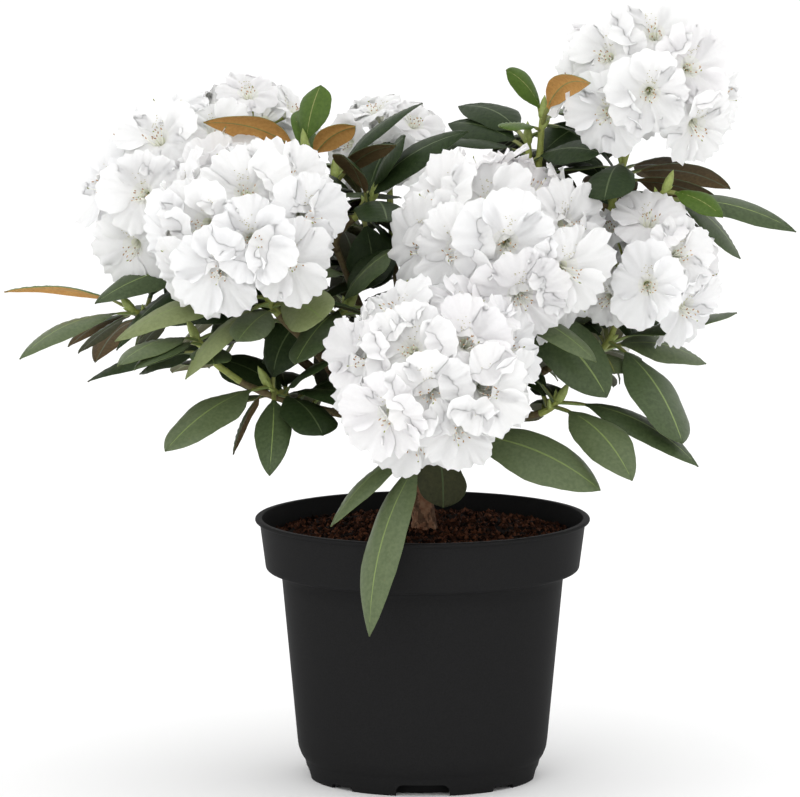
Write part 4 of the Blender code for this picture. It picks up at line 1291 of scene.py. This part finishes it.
def make_twigs(grown, materials):
    """The twigs, brown below and green at their tips, with their buds."""
    batch = Batch("twigs", "bark", ("bark_young", "stem", "bud"), materials)
    draw = random.Random(SEED)
    sides = TWIG_BARK[0]
    for name, shoot, axis, path, stalk in grown:
        rings, _ = rough_tube(stalk, twig_radii(stalk), *TWIG_BARK)
        rows = len(rings) - 1
        green_from = TRUSS_GREEN_FROM if shoot.truss else GREEN_FROM
        shades = [0 if row / rows < green_from else 1 for row in range(rows) for _ in range(sides)]
        batch.add(tube_body(rings), shades + [1] * (2 * sides), name)
        if not shoot.truss:
            batch.add(bud_body(path[-1] - axis * END_BUD_SINK, axis, END_BUD), "bud", name)
        side, other = across(axis)
        for number in range(SIDE_BUDS):
            angle = draw.uniform(0, math.tau)
            lean = axis * SIDE_BUD_LEAN + side * math.cos(angle) + other * math.sin(angle)
            foot = down_twig(path, SIDE_BUD_FROM + SIDE_BUD_STEP * number)
            batch.add(bud_body(foot, lean.normalized(), SIDE_BUD), "bud", name)
    batch.close()


def inner_wall():
    """The pot's inner side from the brim down."""
    return [
        (BAND_FOOT_RADIUS - WALL, BAND_FOOT_HEIGHT + 2 * WALL),
        (BODY_TOP_RADIUS - WALL, BODY_TOP_HEIGHT + 2 * WALL),
        (BODY_FOOT_RADIUS - WALL, BODY_FOOT_HEIGHT),
        (FOOT_TOP_RADIUS - WALL, FLOOR_TOP),
    ]


def soil_edge():
    """The soil's radius at its top edge, a gap inside the band."""
    share = (SOIL_EDGE_HEIGHT - BAND_FOOT_HEIGHT) / (POT_HEIGHT - BAND_FOOT_HEIGHT)
    return BAND_FOOT_RADIUS + (BAND_TOP_RADIUS - BAND_FOOT_RADIUS) * share - WALL - GAP


def arc(centre, radius, first, last, count):
    """Points on an arc from one angle to another, in degrees."""
    points = [round_point(radius, math.radians(angle)) for angle in spread(first, last, count)]
    return [(centre[0] + x, centre[1] + y) for x, y in points]


def bent(corner, steps):
    return [(corner[0] + out, corner[1] + up) for out, up in steps]


def pot_profile():
    """The pot's section from the middle of its floor up the inside, over the lip and down."""
    lip_half = LIP_DEPTH / 2
    profile = [(0, FLOOR_TOP)]
    profile += reversed(inner_wall())
    profile += arc((BAND_TOP_RADIUS - WALL / 2, POT_HEIGHT - WALL / 2), WALL / 2, 180, 90, 4)
    profile += arc((LIP_RADIUS - lip_half, POT_HEIGHT - lip_half), lip_half, 90, -70, 7)
    profile += bent((BAND_TOP_RADIUS, POT_HEIGHT - LIP_DEPTH), LIP_BEND)
    profile += arc((BAND_FOOT_RADIUS - BAND_CORNER, BAND_FOOT_HEIGHT + BAND_CORNER), BAND_CORNER, 0, -90, 7)
    profile += bent((BODY_TOP_RADIUS, BODY_TOP_HEIGHT), BAND_BEND)
    profile += bent((BODY_FOOT_RADIUS, BODY_FOOT_HEIGHT), BODY_FOOT_BEND)
    profile += bent((HEEL_RADIUS, HEEL_HEIGHT), HEEL_BEND)
    profile += bent((FOOT_TOP_RADIUS, FOOT_TOP_HEIGHT), FOOT_TOP_BEND)
    profile += bent((FOOT_RADIUS, 0), FOOT_EDGE_BEND)
    for ring, onward in ((FOOT_RADIUS, INNER_RING_RADIUS), (INNER_RING_RADIUS, PAD_RADIUS)):
        inner = ring - FOOT_WALL
        profile += [(inner, 0), (inner, FLOOR_UNDER), (onward, FLOOR_UNDER), (onward, 0)]
    return profile + [(0, 0)]


def turned_body(profile, sides):
    """A solid of revolution from a profile that starts and ends on the axis."""
    turns = np.arange(sides) * math.tau / sides
    radii, heights = (np.array(values)[:, None] for values in zip(*profile[1:-1]))
    rings = np.stack([radii * np.cos(turns), radii * np.sin(turns), heights + 0 * turns], axis=2)
    points, faces = tube_body(rings)
    points[-2:] = [(0, 0, profile[0][1]), (0, 0, profile[-1][1])]
    return points, [face[::-1] for face in faces]


def notch_body(size, turn):
    """A block that cuts a notch with rounded upper corners through the foot ring."""
    width, height, corner = size
    outline = [(-width / 2, -height), (width / 2, -height)]
    outline += arc((width / 2 - corner, height - corner), corner, 0, 90, NOTCH_ARC_POINTS)
    outline += arc((corner - width / 2, height - corner), corner, 90, 180, NOTCH_ARC_POINTS)
    cos, sin = math.cos(turn), math.sin(turn)
    points = [(reach * cos - over * sin, reach * sin + over * cos, up)
              for reach in NOTCH_REACH for over, up in outline]
    count = len(outline)
    faces = [list(range(count))[::-1], list(range(count, 2 * count))]
    faces += [[k, (k + 1) % count, (k + 1) % count + count, k + count] for k in range(count)]
    return np.array(points), faces


def mesh_object(name, points, faces, material):
    mesh = bpy.data.meshes.new(name)
    mesh.from_pydata(points, [], faces)
    mesh.materials.append(material)
    return add_object(name, mesh)


def pot_object(name, body, materials):
    points, faces = body
    return mesh_object(name, (points * MM).tolist(), faces, materials["pot"])


def make_pot(materials):
    pot = pot_object("nursery_pot", turned_body(pot_profile(), POT_SIDES), materials)
    for eighth in range(8):
        size = LARGE_NOTCH if eighth % 2 == 0 else SMALL_NOTCH
        block = pot_object("notch", notch_body(size, eighth * math.pi / 4), materials)
        cut = pot.modifiers.new("notch", "BOOLEAN")
        cut.object = block
        depsgraph = bpy.context.evaluated_depsgraph_get()
        shape = bpy.data.meshes.new_from_object(pot.evaluated_get(depsgraph))
        pot.modifiers.clear()
        pot.data = shape
        bpy.data.objects.remove(block)
    pot.data.shade_smooth()
    pot.data.set_sharp_from_angle(angle=math.radians(POT_SHARP))
    dress(pot, "pot", ["pot"])


def soil_height(x, y, radius):
    """The soil's own rise towards the trunk, with lumps."""
    places = (0, *(place for place, _ in SOIL_SHOULDERS), soil_edge())
    heights = (SOIL_TOP, *(height for _, height in SOIL_SHOULDERS), SOIL_EDGE_HEIGHT)
    lump = noise.fractal(Vector((x * LUMP_SCALE, y * LUMP_SCALE, 0)), *LUMP_NOISE)
    fade = min(1, (soil_edge() - radius) / LUMP_FADE + LUMP_LEAST)
    return np.interp(radius, places, heights) + LUMP_HEIGHT * lump * fade


def soil_body():
    """The peat with its lumpy top, as rings from its underside over its edge to its middle."""
    angles = spread(0, math.tau, SOIL_SPOKES + 1)[:-1]
    rings = []
    for radius in (SOIL_UNDER_RADIUS, soil_edge() - SOIL_EDGE_INSET):
        rings.append([(*round_point(radius, angle), SOIL_UNDER) for angle in angles])
    for radius in spread(soil_edge(), SOIL_INNER_RADIUS, SOIL_RINGS):
        spots = [round_point(radius, angle) for angle in angles]
        rings.append([(x, y, soil_height(x, y, radius)) for x, y in spots])
    return tube_body(np.array(rings))


def soil_spot(inset, draw):
    """A random place on the soil, no nearer its edge than the inset."""
    radius = (soil_edge() - inset) * math.sqrt(draw.random())
    return *round_point(radius, draw.uniform(0, math.tau)), radius


def crumb_body(draw):
    """A crumb of peat with eight faces, half sunk in the soil."""
    x, y, radius = soil_spot(CRUMB_INSET, draw)
    size = draw.uniform(*CRUMB_SIZE)
    corners = np.array([(1, 0, 0), (-1, 0, 0), (0, 1, 0), (0, -1, 0), (0, 0, 1), (0, 0, -1)], dtype=float)
    shape = corners * [[size * draw.uniform(*CRUMB_CORNER)] for _ in corners]
    turn = draw.uniform(0, math.pi)
    cos, sin = math.cos(turn), math.sin(turn)
    shape = shape @ np.array([(cos, sin, 0), (-sin, cos, 0), (0, 0, 1)])
    faces = [[a, b, c] if (a % 2) ^ (b % 2) ^ (c % 2) == 0 else [a, c, b]
             for a in (0, 1) for b in (2, 3) for c in (4, 5)]
    return shape + np.array((x, y, soil_height(x, y, radius) + CRUMB_LIFT)), faces


def fibre_body(draw):
    """A short fibre that lies on the soil and rises a little in its middle."""
    x, y, _ = soil_spot(FIBRE_INSET, draw)
    way, length = draw.uniform(0, math.tau), draw.uniform(*FIBRE_LENGTH)
    rise = draw.uniform(*FIBRE_RISE)
    path = []
    for step in (-0.5, 0, 0.5):
        a, b = x + math.cos(way) * length * step, y + math.sin(way) * length * step
        lift = rise * (1 if step == 0 else FIBRE_END_RISE)
        path.append(Vector((a, b, soil_height(a, b, math.hypot(a, b)) + lift)))
    return tube_body(tube_grid(path, FIBRE_RADII, 3))


def make_soil(materials):
    batch = Batch("peat", "soil", ("soil_dark", "soil_brown", "soil_red"), materials, SOIL_SHARP)
    draw = random.Random(SEED)
    batch.add(soil_body(), "soil_dark", "soil")
    for _ in range(CRUMBS):
        body = crumb_body(draw)
        batch.add(body, draw.choice(("soil_dark", "soil_brown", "soil_brown", "soil_red")), "soil")
    for _ in range(FIBRES):
        body = fibre_body(draw)
        batch.add(body, draw.choice(("soil_red", "soil_brown")), "soil")
    batch.close()


def make_floor(materials):
    corners = [(-1, -1, 0), (1, -1, 0), (1, 1, 0), (-1, 1, 0)]
    points = [(x * FLOOR_REACH, y * FLOOR_REACH, z) for x, y, z in corners]
    floor = mesh_object("floor", points, [(0, 1, 2, 3)], materials["floor"])


def make_lamp(name, place, size, power):
    light = bpy.data.lights.new(name, "AREA")
    light.size = size
    light.energy = power
    lamp = add_object(name, light)
    lamp.location = place
    lamp.rotation_euler = (Vector(LAMP_TARGET) - Vector(place)).to_track_quat("-Z", "Y").to_euler()


def make_studio(materials):
    """White surroundings and floor, with two soft lamps."""
    make_floor(materials)
    world = bpy.data.worlds.new("studio")
    world.use_nodes = True
    background = world.node_tree.nodes["Background"]
    background.inputs["Color"].default_value = (1, 1, 1, 1)
    background.inputs["Strength"].default_value = SKY_STRENGTH
    bpy.context.scene.world = world
    bpy.context.scene.view_settings.view_transform = "Standard"
    for lamp in LAMPS:
        make_lamp(*lamp)


def make_camera():
    """The photograph's view: the pot's axis and the floor fall where they do in the picture."""
    centre_right = (IMAGE_WIDTH / 2 - POT_AXIS_COLUMN) * PIXEL * MM
    centre_up = (FLOOR_ROW - IMAGE_HEIGHT / 2) * PIXEL * MM / math.cos(CAMERA_RISE)
    back = Vector((0, -math.cos(CAMERA_RISE), math.sin(CAMERA_RISE)))
    data = bpy.data.cameras.new("camera")
    data.sensor_width = SENSOR_WIDTH
    data.lens = SENSOR_WIDTH * CAMERA_DISTANCE / (IMAGE_WIDTH * PIXEL * MM)
    data.clip_end = CLIP_END
    camera = add_object("camera", data)
    camera.location = Vector((centre_right, 0, centre_up)) + back * CAMERA_DISTANCE
    camera.rotation_euler = (math.pi / 2 - CAMERA_RISE, 0, 0)
    bpy.context.scene.camera = camera


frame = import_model()
materials = {name: make_material(name, *look) for name, look in LOOKS.items()}
make_camera()
make_studio(materials)
limb_paths, limb_radii, shoots_grown, florets_open, leaves_placed = grow()
make_pot(materials)
make_soil(materials)
make_limbs(limb_paths, limb_radii, materials)
make_twigs(shoots_grown, materials)
make_leaves(leaves_placed, materials)
make_florets(florets_open, materials)
